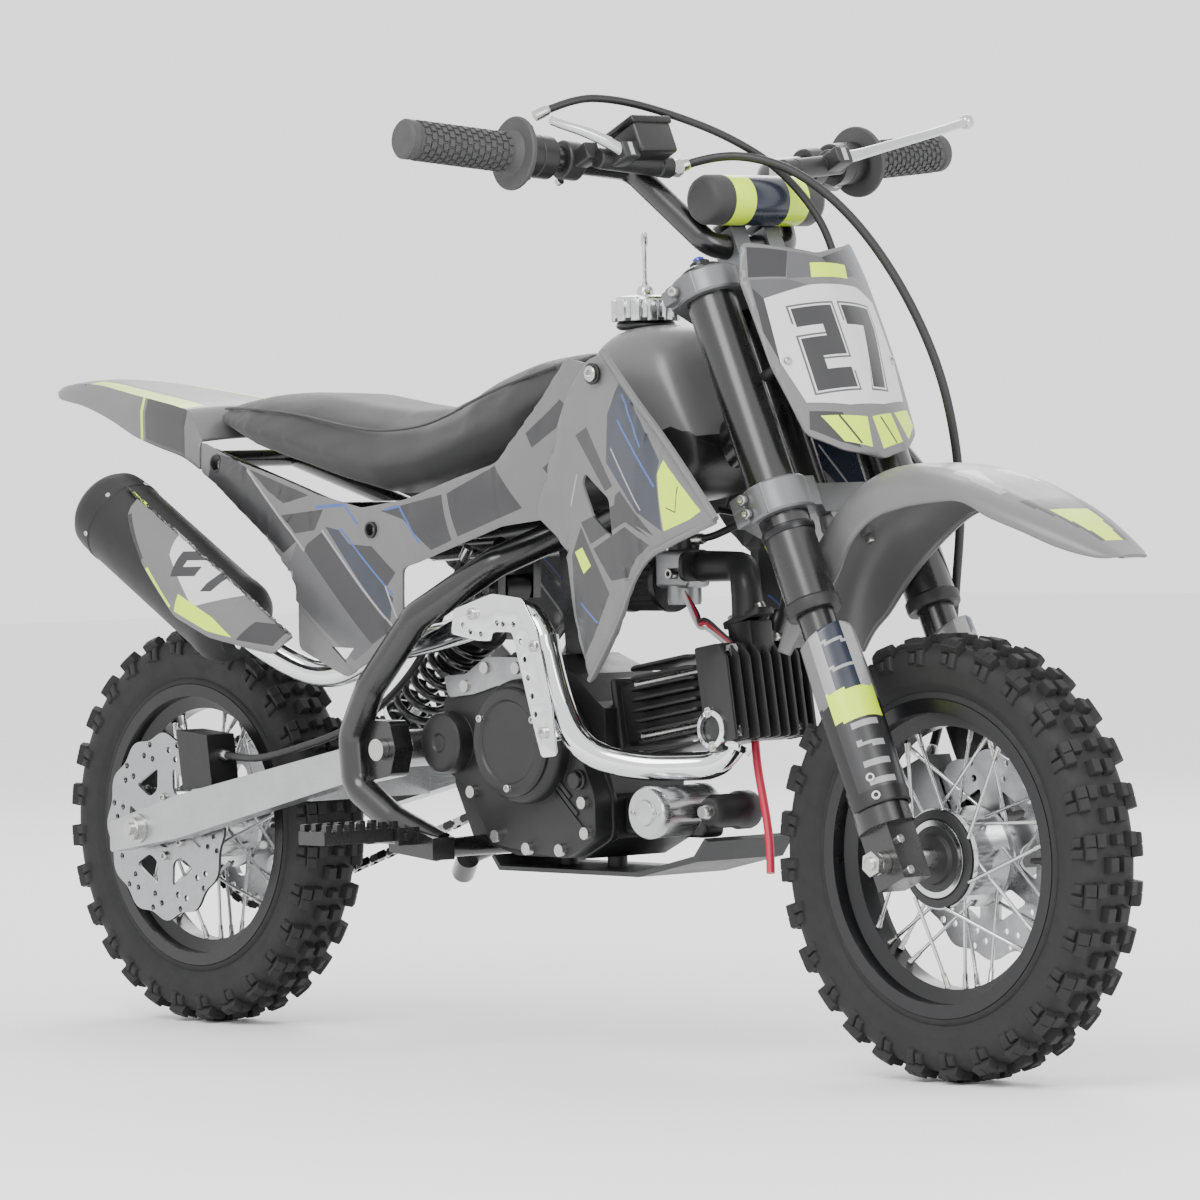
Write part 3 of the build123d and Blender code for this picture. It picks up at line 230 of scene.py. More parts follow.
def seat_vinyl():
    """Embossed vinyl: shallow leather pebbles about 1.6 mm across, drawn a little coarse so that they show."""
    made, tree, at = start_material("grained_seat_vinyl")
    pebble = add(tree, "TexVoronoi", {"Vector": at, "Scale": 1000 / 1.6}, feature="DISTANCE_TO_EDGE")
    height = add(tree, "MapRange", {"Value": pebble.outputs["Distance"], "From Min": 0.0, "From Max": 0.12})
    clouds = add(tree, "TexNoise", {"Vector": at, "Scale": 22.0, "Detail": 3.0})
    mix = add(tree, "Mix", {0: clouds.outputs["Fac"], 6: (*linear("1D1D1D"), 1), 7: (*linear("222222"), 1)},
              data_type="RGBA")
    shine = add(tree, "MapRange", {"Value": clouds.outputs["Fac"], "To Min": 0.5, "To Max": 0.66})
    bump = add(tree, "Bump", {"Height": height.outputs["Result"], "Distance": 0.00008, "Strength": 1.0})
    shader = add(tree, "BsdfPrincipled", {"Base Color": mix.outputs[2], "Roughness": shine.outputs["Result"],
                                          "Sheen Weight": 0.12, "Normal": bump.outputs["Normal"]})
    add(tree, "OutputMaterial", {"Surface": shader.outputs["BSDF"]})
    return made


# ---- shapes ----
def spun(profile, steps=48, closed=False):
    """A turned shape about its own z, from points of (radius, height)."""
    bm = bmesh.new()
    verts = [bm.verts.new((r, 0, h)) for r, h in profile]
    pairs = list(zip(verts, verts[1:]))
    if closed:
        pairs.append((verts[-1], verts[0]))
    edges = [bm.edges.new(pair) for pair in pairs]
    bmesh.ops.spin(bm, geom=verts + edges, cent=(0, 0, 0), axis=(0, 0, 1), angle=math.tau, steps=steps,
                   use_merge=True)
    return bm


def ring_of(bm, points, height=0.0):
    verts = [bm.verts.new((x, y, height)) for x, y in points]
    return [bm.edges.new(pair) for pair in zip(verts, verts[1:] + verts[:1])]


def slab(outline, depth, holes=()):
    """A plate with its outline in x and y, from z 0 to its depth."""
    bm = bmesh.new()
    edges = ring_of(bm, outline)
    for hole in holes:
        edges += ring_of(bm, hole)
    filled = bmesh.ops.triangle_fill(bm, use_beauty=True, edges=edges)
    faces = [f for f in filled["geom"] if isinstance(f, bmesh.types.BMFace)]
    grown = bmesh.ops.extrude_face_region(bm, geom=faces)
    moved = [v for v in grown["geom"] if isinstance(v, bmesh.types.BMVert)]
    bmesh.ops.translate(bm, verts=moved, vec=(0, 0, depth))
    return bm


def box(low, high):
    bm = bmesh.new()
    low, high = Vector(low), Vector(high)
    place = Matrix.Translation((low + high) / 2) @ Matrix.Diagonal((*(high - low), 1))
    bmesh.ops.create_cube(bm, size=1, matrix=place)
    return bm


def round_points(radius, count=16, centre=(0, 0), start=0.0):
    return [(centre[0] + radius * math.cos(start + math.tau * n / count),
             centre[1] + radius * math.sin(start + math.tau * n / count)) for n in range(count)]


def rounded(points, radius, count=4):
    """An outline with its corners rounded."""
    made = []
    for before, at, after in zip(points[-1:] + points[:-1], points, points[1:] + points[:1]):
        at = Vector(at)
        back, on = Vector(before) - at, Vector(after) - at
        reach = min(radius, back.length * 0.45, on.length * 0.45)
        first, last = at + back.normalized() * reach, at + on.normalized() * reach
        for k in range(count + 1):
            t = k / count
            made.append(tuple(first * (1 - t) ** 2 + at * 2 * t * (1 - t) + last * t ** 2))
    return made


def pipe(points, radius, radii=None, sides=12, closed=False, fineness=6):
    """A bent rod or tube along a smooth line through the space of its points."""
    line = bpy.data.curves.new("line", "CURVE")
    line.dimensions = "3D"
    run = line.splines.new("NURBS")
    run.points.add(len(points) - 1)
    for n, point in enumerate(points):
        run.points[n].co = (*point, 1)
        run.points[n].radius = radii[n] if radii else 1
    run.order_u = 3
    run.use_endpoint_u = not closed
    run.use_cyclic_u = closed
    run.resolution_u = fineness
    line.bevel_depth = radius
    line.bevel_resolution = max(1, sides // 4 - 1)
    line.use_fill_caps = not closed
    holder = bpy.data.objects.new("line", line)
    mesh = bpy.data.meshes.new_from_object(holder)
    bm = bmesh.new()
    bm.from_mesh(mesh)
    bmesh.ops.remove_doubles(bm, verts=bm.verts, dist=1e-4)
    bpy.data.objects.remove(holder)
    bpy.data.curves.remove(line)
    bpy.data.meshes.remove(mesh)
    return bm


def lofted(rings):
    """A closed shape through rings of points, capped at both ends."""
    bm = bmesh.new()
    loops = []
    for ring in rings:
        verts = [bm.verts.new(p) for p in ring]
        loops.append([bm.edges.new(pair) for pair in zip(verts, verts[1:] + verts[:1])])
    for first, second in zip(loops, loops[1:]):
        bmesh.ops.bridge_loops(bm, edges=first + second)
    bmesh.ops.holes_fill(bm, edges=loops[0] + loops[-1], sides=0)
    return bm


def sheet(across, along, shape):
    """A grid whose points shape(u, v) places, with u and v from 0 to 1."""
    bm = bmesh.new()
    bmesh.ops.create_grid(bm, x_segments=across, y_segments=along, size=0.5)
    for v in bm.verts:
        v.co = shape(v.co.x + 0.5, v.co.y + 0.5)
    return bm


def between(table, x):
    """The value at x from rows of (x, value, ...), by straight interpolation."""
    rows = sorted(table)
    if x <= rows[0][0]:
        return rows[0][1:]
    for a, b in zip(rows, rows[1:]):
        if x <= b[0]:
            t = (x - a[0]) / (b[0] - a[0])
            return tuple(p + (q - p) * t for p, q in zip(a[1:], b[1:]))
    return rows[-1][1:]


def smooth_at(stations, t):
    """A point on the smooth line through stations, with t from 0 to 1."""
    last = len(stations) - 1
    n = min(int(t * last), last - 1)
    f = t * last - n
    p0, p1 = stations[max(n - 1, 0)], stations[n]
    p2, p3 = stations[n + 1], stations[min(n + 2, last)]
    return [0.5 * (2 * b + (c - a) * f + (2 * a - 5 * b + 4 * c - d) * f * f + (3 * b - a - 3 * c + d) * f ** 3)
            for a, b, c, d in zip(p0, p1, p2, p3)]


def inside(point, polygon):
    x, y = point
    hit = False
    for (x0, y0), (x1, y1) in zip(polygon, polygon[1:] + polygon[:1]):
        if (y0 > y) != (y1 > y) and x < (x1 - x0) * (y - y0) / (y1 - y0) + x0:
            hit = not hit
    return hit


def cut_along(bm, point, normal, reach=None):
    """Cuts the faces along a plane; reach limits it to faces near an outline."""
    faces = bm.faces[:]
    if reach:
        x0, y0, x1, y1 = reach
        faces = [f for f in faces if min(v.co.x for v in f.verts) < x1 and max(v.co.x for v in f.verts) > x0
                 and min(v.co.y for v in f.verts) < y1 and max(v.co.y for v in f.verts) > y0]
    geom = list({v for f in faces for v in f.verts}) + list({e for f in faces for e in f.edges}) + faces
    bmesh.ops.bisect_plane(bm, geom=geom, plane_co=(*point, 0), plane_no=(*normal, 0), dist=1e-4)


def mark(bm, polygon, finish_index=None):
    """Cuts an outline into a flat sheet, and paints what is inside it, or removes it."""
    xs, ys = [p[0] for p in polygon], [p[1] for p in polygon]
    reach = (min(xs), min(ys), max(xs), max(ys))
    for (x0, y0), (x1, y1) in zip(polygon, polygon[1:] + polygon[:1]):
        cut_along(bm, (x0, y0), (y0 - y1, x1 - x0), reach)
    found = [f for f in bm.faces if inside(f.calc_center_median().xy, polygon)]
    if finish_index is None:
        bmesh.ops.delete(bm, geom=found, context="FACES")
    else:
        for f in found:
            f.material_index = finish_index


def moulding(outline, step, marks=(), holes=()):
    """A flat sheet in x and y, cut fine enough to bend, with its printed areas and holes."""
    bm = bmesh.new()
    bmesh.ops.triangle_fill(bm, use_beauty=True, edges=ring_of(bm, outline))
    for axis in (0, 1):
        values = [p[axis] for p in outline]
        count = int((max(values) - min(values)) / step)
        for n in range(1, count + 1):
            at = min(values) + n * (max(values) - min(values)) / (count + 1)
            cut_along(bm, (at, 0) if axis == 0 else (0, at), (1, 0) if axis == 0 else (0, 1))
    for polygon, index in marks:
        mark(bm, polygon, index)
    for polygon in holes:
        mark(bm, polygon)
    return bm


def band(line, width):
    """A printed line: a strip of some width along two points."""
    a, b = Vector(line[0]), Vector(line[1])
    across = (b - a).orthogonal().normalized() * width / 2
    return [tuple(a + across), tuple(b + across), tuple(b - across), tuple(a - across)]


def cap_screw(radius, height, sides=14):
    """A socket-head screw, standing on z 0."""
    socket = 0.5 * radius
    return spun([(0, 0), (radius, 0), (radius, height * 0.8), (radius * 0.85, height), (socket, height),
                 (socket, height * 0.45), (0, height * 0.45)], sides)


def hex_nut(radius, height, bore=0.0):
    """A six-sided nut with a turned top, standing on z 0."""
    bm = slab(round_points(radius, 6), height)
    stud = spun([(bore, height), (bore, height * 1.25), (bore * 0.7, height * 1.4), (0, height * 1.4)], 10)
    return joined(bm, stud) if bore else bm


def joined(*parts):
    """Several shapes as one."""
    whole = bmesh.new()
    for part in parts:
        mesh = bpy.data.meshes.new("part")
        part.to_mesh(mesh)
        part.free()
        whole.from_mesh(mesh)
        bpy.data.meshes.remove(mesh)
    return whole


def soften(bm, offset, segments=2, over=30):
    """Rounds every edge whose faces meet at more than some degrees."""
    bmesh.ops.recalc_face_normals(bm, faces=bm.faces)
    edges = [e for e in bm.edges if e.is_manifold and e.calc_face_angle(0) > math.radians(over)]
    bmesh.ops.bevel(bm, geom=edges, offset=offset, offset_type="OFFSET", segments=segments, profile=0.5,
                    affect="EDGES", material=-1, clamp_overlap=True)
    return bm


def walled(made, outward, thickness):
    """Faces an open sheet outward and gives it a wall, in millimetres, behind that face."""
    if sum(p.normal.dot(outward) * p.area for p in made.data.polygons) < 0:
        made.data.flip_normals()
    shell = made.modifiers.new("wall", "SOLIDIFY")
    shell.thickness = thickness / 1000
    shell.offset = -1


class Piece:
    """One object under construction, in millimetres."""

    def __init__(self, *finishes):
        self.finishes = finishes
        self.whole = bmesh.new()

    def put(self, bm, place=None, finish_index=None, closed=True, mirrored=False):
        """Adds a shape; mirrored adds its twin on the other side of the bike too."""
        if place is not None:
            bm.transform(place)
        bmesh.ops.remove_doubles(bm, verts=bm.verts, dist=1e-3)
        if finish_index is not None:
            for f in bm.faces:
                f.material_index = finish_index
        if closed:
            bmesh.ops.recalc_face_normals(bm, faces=bm.faces)
        mesh = bpy.data.meshes.new("part")
        bm.to_mesh(mesh)
        self.whole.from_mesh(mesh)
        if mirrored:
            bmesh.ops.scale(bm, vec=(1, -1, 1), verts=bm.verts)
            bmesh.ops.reverse_faces(bm, faces=bm.faces)
            bm.to_mesh(mesh)
            self.whole.from_mesh(mesh)
        bm.free()
        bpy.data.meshes.remove(mesh)
        return self

    def done(self, name, body, replaces=(), crease=32, frame_place=None, wall=0.0, levels=0):
        """Makes the object, in metres in the row frame, and ties it to its body."""
        if frame_place is not None:
            self.whole.transform(frame_place)
        self.whole.transform(TO_ROW)
        mesh = bpy.data.meshes.new(name)
        self.whole.to_mesh(mesh)
        self.whole.free()
        for f in self.finishes:
            mesh.materials.append(finish(f))
        mesh.polygons.foreach_set("use_smooth", [True] * len(mesh.polygons))
        mesh.set_sharp_from_angle(angle=math.radians(crease))
        made = bpy.data.objects.new(name, mesh)
        bpy.context.scene.collection.objects.link(made)
        if wall:
            shell = made.modifiers.new("wall", "SOLIDIFY")
            shell.thickness = wall / 1000
            shell.offset = -1
        if levels:
            finer = made.modifiers.new("finer", "SUBSURF")
            finer.levels = finer.render_levels = levels
        if body:
            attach(made, body)
        if replaces:
            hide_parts(*replaces)
        return made


class Maker:
    """What every builder on the panel shares."""
    bl_options = {"REGISTER", "UNDO"}

    @property
    def sizes(self):
        return bpy.context.scene.dirt_bike_sizes


class BikeSizes(bpy.types.PropertyGroup):
    """Sizes that a user may change."""
    knob_height: bpy.props.FloatProperty(
        name="Knob height", description="Height of the tyre knobs", default=8.5, min=3, max=9, unit="NONE")
    knob_pitches: bpy.props.IntProperty(
        name="Knob rows", description="Rows of knobs round a tyre", default=56, min=20, max=80)
    panel_wall: bpy.props.FloatProperty(
        name="Panel wall", description="Thickness of the mouldings in millimetres", default=2.6, min=1, max=4)
    seat_swell: bpy.props.FloatProperty(
        name="Seat swell", description="How far the seat cover may rise, in metres", default=0.006,
        min=0, max=0.02, unit="LENGTH")


class BikeView(bpy.types.PropertyGroup):
    """Where the camera stands and how bright the studio is."""
    lens: bpy.props.FloatProperty(
        name="Lens", description="Focal length in millimetres", default=189.98, min=20, max=400)
    soft_light: bpy.props.FloatProperty(
        name="Soft light", description="Strength of the surrounding light", default=1.75, min=0, max=4)


# ---- the camera, the studio and the hose ----
class DIRTBIKE_OT_stage(Maker, bpy.types.Operator):
    """Camera, pale floor and soft studio light"""
    bl_idname = "dirtbike.stage"
    bl_label = "Camera, floor and light"

    def execute(self, context):
        view = context.scene.dirt_bike_view
        camera = bpy.data.cameras.new("camera")
        camera.lens = view.lens
        camera.sensor_width = 36
        camera.shift_x, camera.shift_y = -0.0071, 0.0028
        camera.clip_end = 50
        stand = bpy.data.objects.new("camera", camera)
        yaw, pitch, roll = (math.radians(a) for a in (47.762, 1.246, -1.113))
        back = Vector((math.sin(yaw) * math.cos(pitch), -math.cos(yaw) * math.cos(pitch), math.sin(pitch)))
        right = Vector((math.cos(yaw), math.sin(yaw), 0))
        up = back.cross(right)
        lean_right = math.cos(roll) * right + math.sin(roll) * up
        lean_up = math.cos(roll) * up - math.sin(roll) * right
        turn = Matrix((lean_right, lean_up, back)).transposed().to_4x4()
        stand.matrix_world = Matrix.Translation((4.27015, -3.81313, 0.52699)) @ turn
        context.scene.collection.objects.link(stand)
        context.scene.camera = stand

        floor = bmesh.new()
        bmesh.ops.create_grid(floor, x_segments=1, y_segments=1, size=14)
        mesh = bpy.data.meshes.new("floor")
        floor.to_mesh(mesh)
        floor.free()
        ground, tree, at = start_material("pale_studio_floor")
        clouds = add(tree, "TexNoise", {"Vector": at, "Scale": 3.0, "Detail": 2.0})
        tone = add(tree, "Mix", {0: clouds.outputs["Fac"], 6: (*linear("F4F4F4"), 1), 7: (*linear("F1F1F2"),
                                                                                          1)},
                   data_type="RGBA")
        cover = add(tree, "BsdfPrincipled", {"Base Color": tone.outputs[2], "Roughness": 0.7})
        add(tree, "OutputMaterial", {"Surface": cover.outputs["BSDF"]})
        mesh.materials.append(ground)
        plane = bpy.data.objects.new("floor", mesh)
        context.scene.collection.objects.link(plane)

        world = bpy.data.worlds.new("studio")
        world.use_nodes = True
        world.node_tree.nodes["Background"].inputs["Color"].default_value = (1, 1, 1, 1)
        world.node_tree.nodes["Background"].inputs["Strength"].default_value = view.soft_light
        context.scene.world = world
        for name, place, aim, size, power in (("key", (1.2, -2.6, 3.0), (0, 0, 0.4), 2.4, 120),
                                              ("front", (3.6, -0.4, 1.6), (0.3, 0, 0.5), 1.8, 45),
                                              ("back", (-2.4, 2.6, 2.6), (0, 0, 0.5), 2.2, 60)):
            lamp = bpy.data.lights.new(name, "AREA")
            lamp.shape = "DISK"
            lamp.size = size
            lamp.energy = power
            holder = bpy.data.objects.new(name, lamp)
            holder.matrix_world = aimed(place, Vector(place) - Vector(aim))
            context.scene.collection.objects.link(holder)
        return {"FINISHED"}


def row(point):
    """A point in millimetres from the axle line, as metres in the row frame."""
    return TO_ROW @ Vector(point)


class DIRTBIKE_OT_overflow_hose(Maker, bpy.types.Operator):
    """The free red overflow hose, which hangs in front of the engine"""
    bl_idname = "dirtbike.overflow_hose"
    bl_label = "Overflow hose"

    def execute(self, context):
        route = [(263, -5, 94.3), (264, -5, 82), (268, -6, 64), (274, -7, 44), (281, -9, 22), (287, -12, 0),
                 (291, -16, -20)]
        line = bpy.data.curves.new("overflow_hose_red", "CURVE")
        line.dimensions = "3D"
        run = line.splines.new("NURBS")
        run.points.add(len(route) - 1)
        for n, point in enumerate(route):
            run.points[n].co = (*row(point), 1)
        run.order_u = 3
        run.use_endpoint_u = True
        run.resolution_u = 12
        line.bevel_depth = 0.0038
        line.bevel_resolution = 4
        line.use_fill_caps = True
        line.materials.append(finish("red_silicone_hose"))
        hose = bpy.data.objects.new("overflow_hose_red", line)
        context.scene.collection.objects.link(hose)
        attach(hose, "chassis")
        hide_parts("overflow_hose")
        tuple(row(route[0]))
        return {"FINISHED"}


# ---- wheels ----
def knob(size, taper):
    """A tread block: its foot is open, and its top is smaller than its foot."""
    radial, around, across = size
    bm = box((0, -around / 2, -across / 2), (radial, around / 2, across / 2))
    foot = [f for f in bm.faces if f.normal.x < -0.9]
    bmesh.ops.delete(bm, geom=foot, context="FACES_ONLY")
    top = [v for v in bm.verts if v.co.x > radial / 2]
    bmesh.ops.scale(bm, vec=(1, taper, taper), verts=top)
    rim = [e for e in bm.edges if all(v.co.x > radial / 2 for v in e.verts)]
    bmesh.ops.bevel(bm, geom=rim, offset=0.7, offset_type="OFFSET", segments=1, profile=0.5,
                    affect="EDGES", material=-1)
    return bm


def tread(count, height):
    """Rows of knobs about z: pairs in the middle, then shoulders, then lugs down the sidewall."""
    pieces = []
    for n in range(count):
        even = n % 2 == 0
        turn = Matrix.Rotation(math.tau * n / count, 4, "Z")
        middle_rows = ((7.5, 0), (-7.5, 0)) if even else ((17.5, 14), (-17.5, -14))
        for across, lean in middle_rows:
            foot = 190 - height if even else 187.4 - height
            place = turn @ Matrix.Translation((foot, 0, across)) @ Matrix.Rotation(-math.radians(lean), 4,
                                                                                   "Y")
            pieces.append((knob((height, 13.5, 10.5), 0.84), place))
        if not even:
            pieces.append((knob((height - 1, 9, 9), 0.8), turn @ Matrix.Translation((191 - height, 0, 0))))
        for way in (1, -1):
            offset = 0.5 if even else 0.0
            part = Matrix.Rotation(math.tau * (n + offset) / count, 4, "Z")
            place = part @ Matrix.Translation((178, 0,
                                               25.5 * way)) @ Matrix.Rotation(-math.radians(36 * way), 4, "Y")
            pieces.append((knob((height, 11.5, 10), 0.86), place))
            lug = part @ Matrix.Translation((170, 0, 30 * way)) @ Matrix.Rotation(-math.radians(80 * way), 4,
                                                                                  "Y")
            pieces.append((knob((3.6, 9, 15 if even else 10), 0.8), lug))
    return pieces


class DIRTBIKE_OT_tyres(Maker, bpy.types.Operator):
    """Knobbly tyres with shoulder lugs and rim ridges"""
    bl_idname = "dirtbike.tyres"
    bl_label = "Tyres"

    def execute(self, context):
        outer = [(127.4, 23.4), (133, 24.4), (136, 26.8), (139.5, 26.6), (141, 25.2), (147, 28.4),
                 (150, 29.6),
                 (152, 29.4), (160, 31.4), (168, 31.6), (174, 29.8), (178.5, 26), (181, 19), (182, 9)]
        inner = [(173, 8), (171, 18), (166, 24), (158, 27), (148, 24), (140, 18), (127.4, 13.5)]
        half = outer + [(182.2, 0)]
        profile = half + [(r, -z) for r, z in reversed(outer)]
        profile += [(r, -z) for r, z in reversed(inner)] + [(173.2, 0)] + inner
        for name, x, body, node in (("front_tyre_knobbly", FRONT_X, "front_wheel", "front_tyre"),
                                    ("rear_tyre_knobbly", REAR_X, "rear_wheel", "rear_tyre")):
            piece = Piece("vulcanised_tyre_rubber")
            hub = side(x=x)
            piece.put(spun(profile, 112, closed=True), hub)
            for block, place in tread(self.sizes.knob_pitches, self.sizes.knob_height):
                piece.put(block, hub @ place, closed=False)
            piece.done(name, body, [node], crease=40)
        return {"FINISHED"}


def petal_disc(radius, waves, windows):
    """A brake disc with a waved edge, drilled face and cut-out spider."""
    edge = [((radius - 2.6 + 2.6 * math.cos(waves * a)) * math.cos(a),
             (radius - 2.6 + 2.6 * math.cos(waves * a))
             * math.sin(a)) for a in (math.tau * n / 160 for n in range(160))]
    holes = [round_points(20, 28)]
    for n in range(waves):
        a = math.tau * (n + 0.5) / waves
        for r, shift in ((81, 0), (74, 0.16), (67, 0)):
            b = a + shift
            holes.append(round_points(3.1, 10, (r * math.cos(b), r * math.sin(b))))
    for n in range(windows):
        a = math.tau * n / windows
        corners = [(36, -0.22), (58, -0.36), (58, 0.3), (36, 0.16)]
        outline = [(r * math.cos(a + t), r * math.sin(a + t)) for r, t in corners]
        holes.append(rounded(outline, 5, 3))
        b = a + 0.5 * math.tau / windows
        holes.append(round_points(2.6, 8, (28 * math.cos(b), 28 * math.sin(b))))
    return slab(edge, 3, holes)


class DIRTBIKE_OT_discs(Maker, bpy.types.Operator):
    """Waved brake discs, their bolts, the spoke nipples and the tyre valves"""
    bl_idname = "dirtbike.discs"
    bl_label = "Discs and nipples"

    def execute(self, context):
        for name, node, body, x, way in (("front_disc_waved", "front_disc", "front_wheel", FRONT_X, 1),
                                         ("rear_disc_waved", "rear_disc", "rear_wheel", REAR_X, -1)):
            piece = Piece("ground_disc_steel", "zinc_plated_steel")
            y = middle(node).y
            piece.put(petal_disc(90, 12, 6), side(y=y - 1.5, x=x))
            for n in range(6):
                a = math.tau * (n + 0.5) / 6
                at = (x + 28 * math.cos(a), y + 1.5 * way, 28 * math.sin(a))
                piece.put(cap_screw(4.4, 4, 12), aimed(at, (0, way, 0)), 1)
            piece.done(name, body, [node], crease=40)
            nipples = Piece("zinc_plated_steel", "extruded_hose_rubber")
            for n in range(28):
                flange = 1 if n % 2 else -1
                outer = (n // 2) % 2
                start_y = 26.2 if outer else 17.1
                start, end = (math.radians(360 / 28 * n), math.radians(360 / 28 * n + (34 if outer else -34)))
                r0 = 42 if outer else 38
                foot = Vector((x + r0 * math.cos(start), flange * start_y, r0 * math.sin(start)))
                head = Vector((x + 111 * math.cos(end), flange * (5 if outer else 2.6), 111 * math.sin(end)))
                along = (head - foot).normalized()
                shape = spun([(0, -13), (2.2, -12.6), (2.5, -2), (3.1, -1), (3.1, 0.2), (0, 0.4)], 8)
                nipples.put(shape, aimed(head - along * 0.5, along))
            valve = spun([(0, -24), (2.6, -24), (2.6, -14), (3.6, -13), (3.8, -2), (5, 0), (0, 0)], 12)
            nipples.put(valve, aimed((x + 111, 0, 0), (1, 0, 0)), 1)
            nipples.done(name.split("_")[0] + "_nipples", body, crease=40)
        return {"FINISHED"}


# ---- mouldings ----
FILMS = ("moulded_grey_plastic", "printed_dark_film", "printed_mid_film", "printed_light_film",
         "printed_white_film", "printed_lime_film", "printed_blue_film", "printed_navy_film")
GREY, DARK, MIDDLE, LIGHT, WHITE, LIME, BLUE, NAVY = range(8)
PANEL_PLAN = [(-402, 84), (-341, 92), (-269, 99), (-210, 104), (-146, 107), (-84, 107), (-10, 105), (96, 104),
              (175, 104)]
PANEL_TOP = [(-402, 367), (-341, 348), (-269, 331), (-210, 315), (-146, 303), (-84, 310), (-10, 330),
             (38, 341), (96, 393), (134, 432)]
PANEL_LOW = [(176, 424), (152, 398), (116, 292), (46, 285), (-26, 265), (-85, 248), (-90, 196), (-125, 168),
             (-176, 148), (-250, 174), (-244, 232), (-293, 275), (-378, 327), (-402, 338)]
PANEL_PRINT = [
    ([(-376, 356), (-345, 350), (-325, 341), (-240, 274), (-265, 262), (-393, 330)], DARK),
    ([(-320, 340), (-225, 315), (-263, 308), (-289, 320)], DARK),
    ([(-266, 297), (-202, 302), (-214, 283), (-245, 280)], DARK),
    ([(-226, 270), (-203, 281), (-103, 193), (-134, 178), (-246, 243)], DARK),
    ([(-198, 286), (-178, 283), (-100, 221), (-107, 198)], NAVY),
    ([(-163, 270), (-129, 268), (-95, 244), (-112, 227)], DARK),
    ([(-118, 300), (-33, 314), (-21, 273), (-49, 264), (-85, 292)], DARK),
    ([(-26, 315), (38, 339), (74, 301), (-13, 276)], DARK),
    ([(-278, 232), (-247, 227), (-249, 164), (-278, 172)], DARK),
    ([(-240, 274), (-132, 178), (-158, 163), (-266, 232)], MIDDLE),
    ([(81, 367), (128, 396), (157, 376), (146, 366), (135, 377), (90, 354)], DARK),
    ([(104, 336), (120, 345), (131, 330), (118, 324)], DARK),
    ([(126, 347), (141, 357), (156, 342), (140, 334)], DARK),
    (band([(-324, 340), (-230, 264)], 2.4), LIGHT),
    (band([(-203, 283), (-103, 195)], 2.2), LIGHT),
    (band([(-176, 285), (-100, 224)], 2.0), BLUE),
    (band([(-214, 304), (-172, 306)], 3.0), BLUE),
    (band([(-172, 306), (-150, 288)], 2.4), BLUE),
    (band([(-112, 301), (-92, 304)], 2.2), BLUE),
    (band([(-92, 304), (-62, 270)], 2.2), BLUE),
    (band([(-110, 232), (-96, 200)], 2.0), LIGHT),
]
STEP_LINE = ((-402, 336), (-165, 158))
SHROUD_PLAN = [(88, 107.4), (112, 107.4), (141, 110), (175, 116), (214, 124), (255, 132), (320, 141),
               (372, 145)]
SHROUD = [(99, 294), (139, 402), (172, 429), (203, 436), (250, 395), (295, 360), (345, 312), (369, 288),
          (255, 253), (214, 191), (169, 147), (146, 201), (141, 258)]
WINDOW = [(173, 331), (213, 308), (217, 274), (186, 293), (168, 322)]
SHROUD_PRINT = [
    ([(157, 364), (175, 371), (219, 319), (207, 315)], DARK),
    ([(223, 311), (231, 315), (278, 276), (245, 288), (220, 296)], DARK),
    ([(166, 288), (222, 303), (272, 274), (238, 288), (181, 269)], DARK),
    ([(185, 265), (237, 284), (270, 268), (248, 255), (236, 240), (212, 237)], DARK),
    ([(149, 258), (166, 284), (208, 226), (180, 190), (162, 170), (152, 204)], DARK),
    ([(210, 382), (228, 412), (291, 340), (287, 327), (290, 304), (291, 280), (257, 296), (209, 340)], NAVY),
    (band([(226, 376), (284, 318)], 2.2), BLUE),
    (band([(216, 352), (262, 298)], 1.8), LIGHT),
    (band([(232, 398), (262, 352)], 2.2), BLUE),
    ([(289, 329), (296, 341), (315, 325), (350, 297), (334, 290), (294, 280)], LIME),
    (band([(318, 318), (314, 296)], 1.2), DARK),
    (band([(300, 300), (314, 296)], 1.2), DARK),
    (band([(160, 218), (186, 200)], 2.0), BLUE),
    ([(155, 262), (167, 266), (180, 250), (168, 243)], LIME),
    (band([(150, 302), (160, 330)], 2.0), LIGHT),
]


def upright(bm, side_of, plan, crown, step=None):
    """Bends a flat moulding to its plan curve, crowned in height, and stands it on one side of the bike."""
    rows = [(x, y) for x, y in plan]
    spans = {}
    for v in bm.verts:
        key = round(v.co.x / 12)
        low, high = spans.get(key, (v.co.y, v.co.y))
        spans[key] = (min(low, v.co.y), max(high, v.co.y))
    for v in bm.verts:
        low, high = spans[round(v.co.x / 12)]
        part = (v.co.y - (low + high) / 2) / max(30, (high - low) / 2)
        out = between(rows, v.co.x)[0] + crown * (1 - 2 * part * part)
        if step:
            (x0, z0), (x1, z1) = step
            length = math.hypot(x1 - x0, z1 - z0)
            depth = ((v.co.x - x0) * (z1 - z0) - (v.co.y - z0) * (x1 - x0)) / length
            out -= 3.0 * min(1, max(0, depth / 1.6))
        v.co = (v.co.x, side_of * out, v.co.y)
    return bm


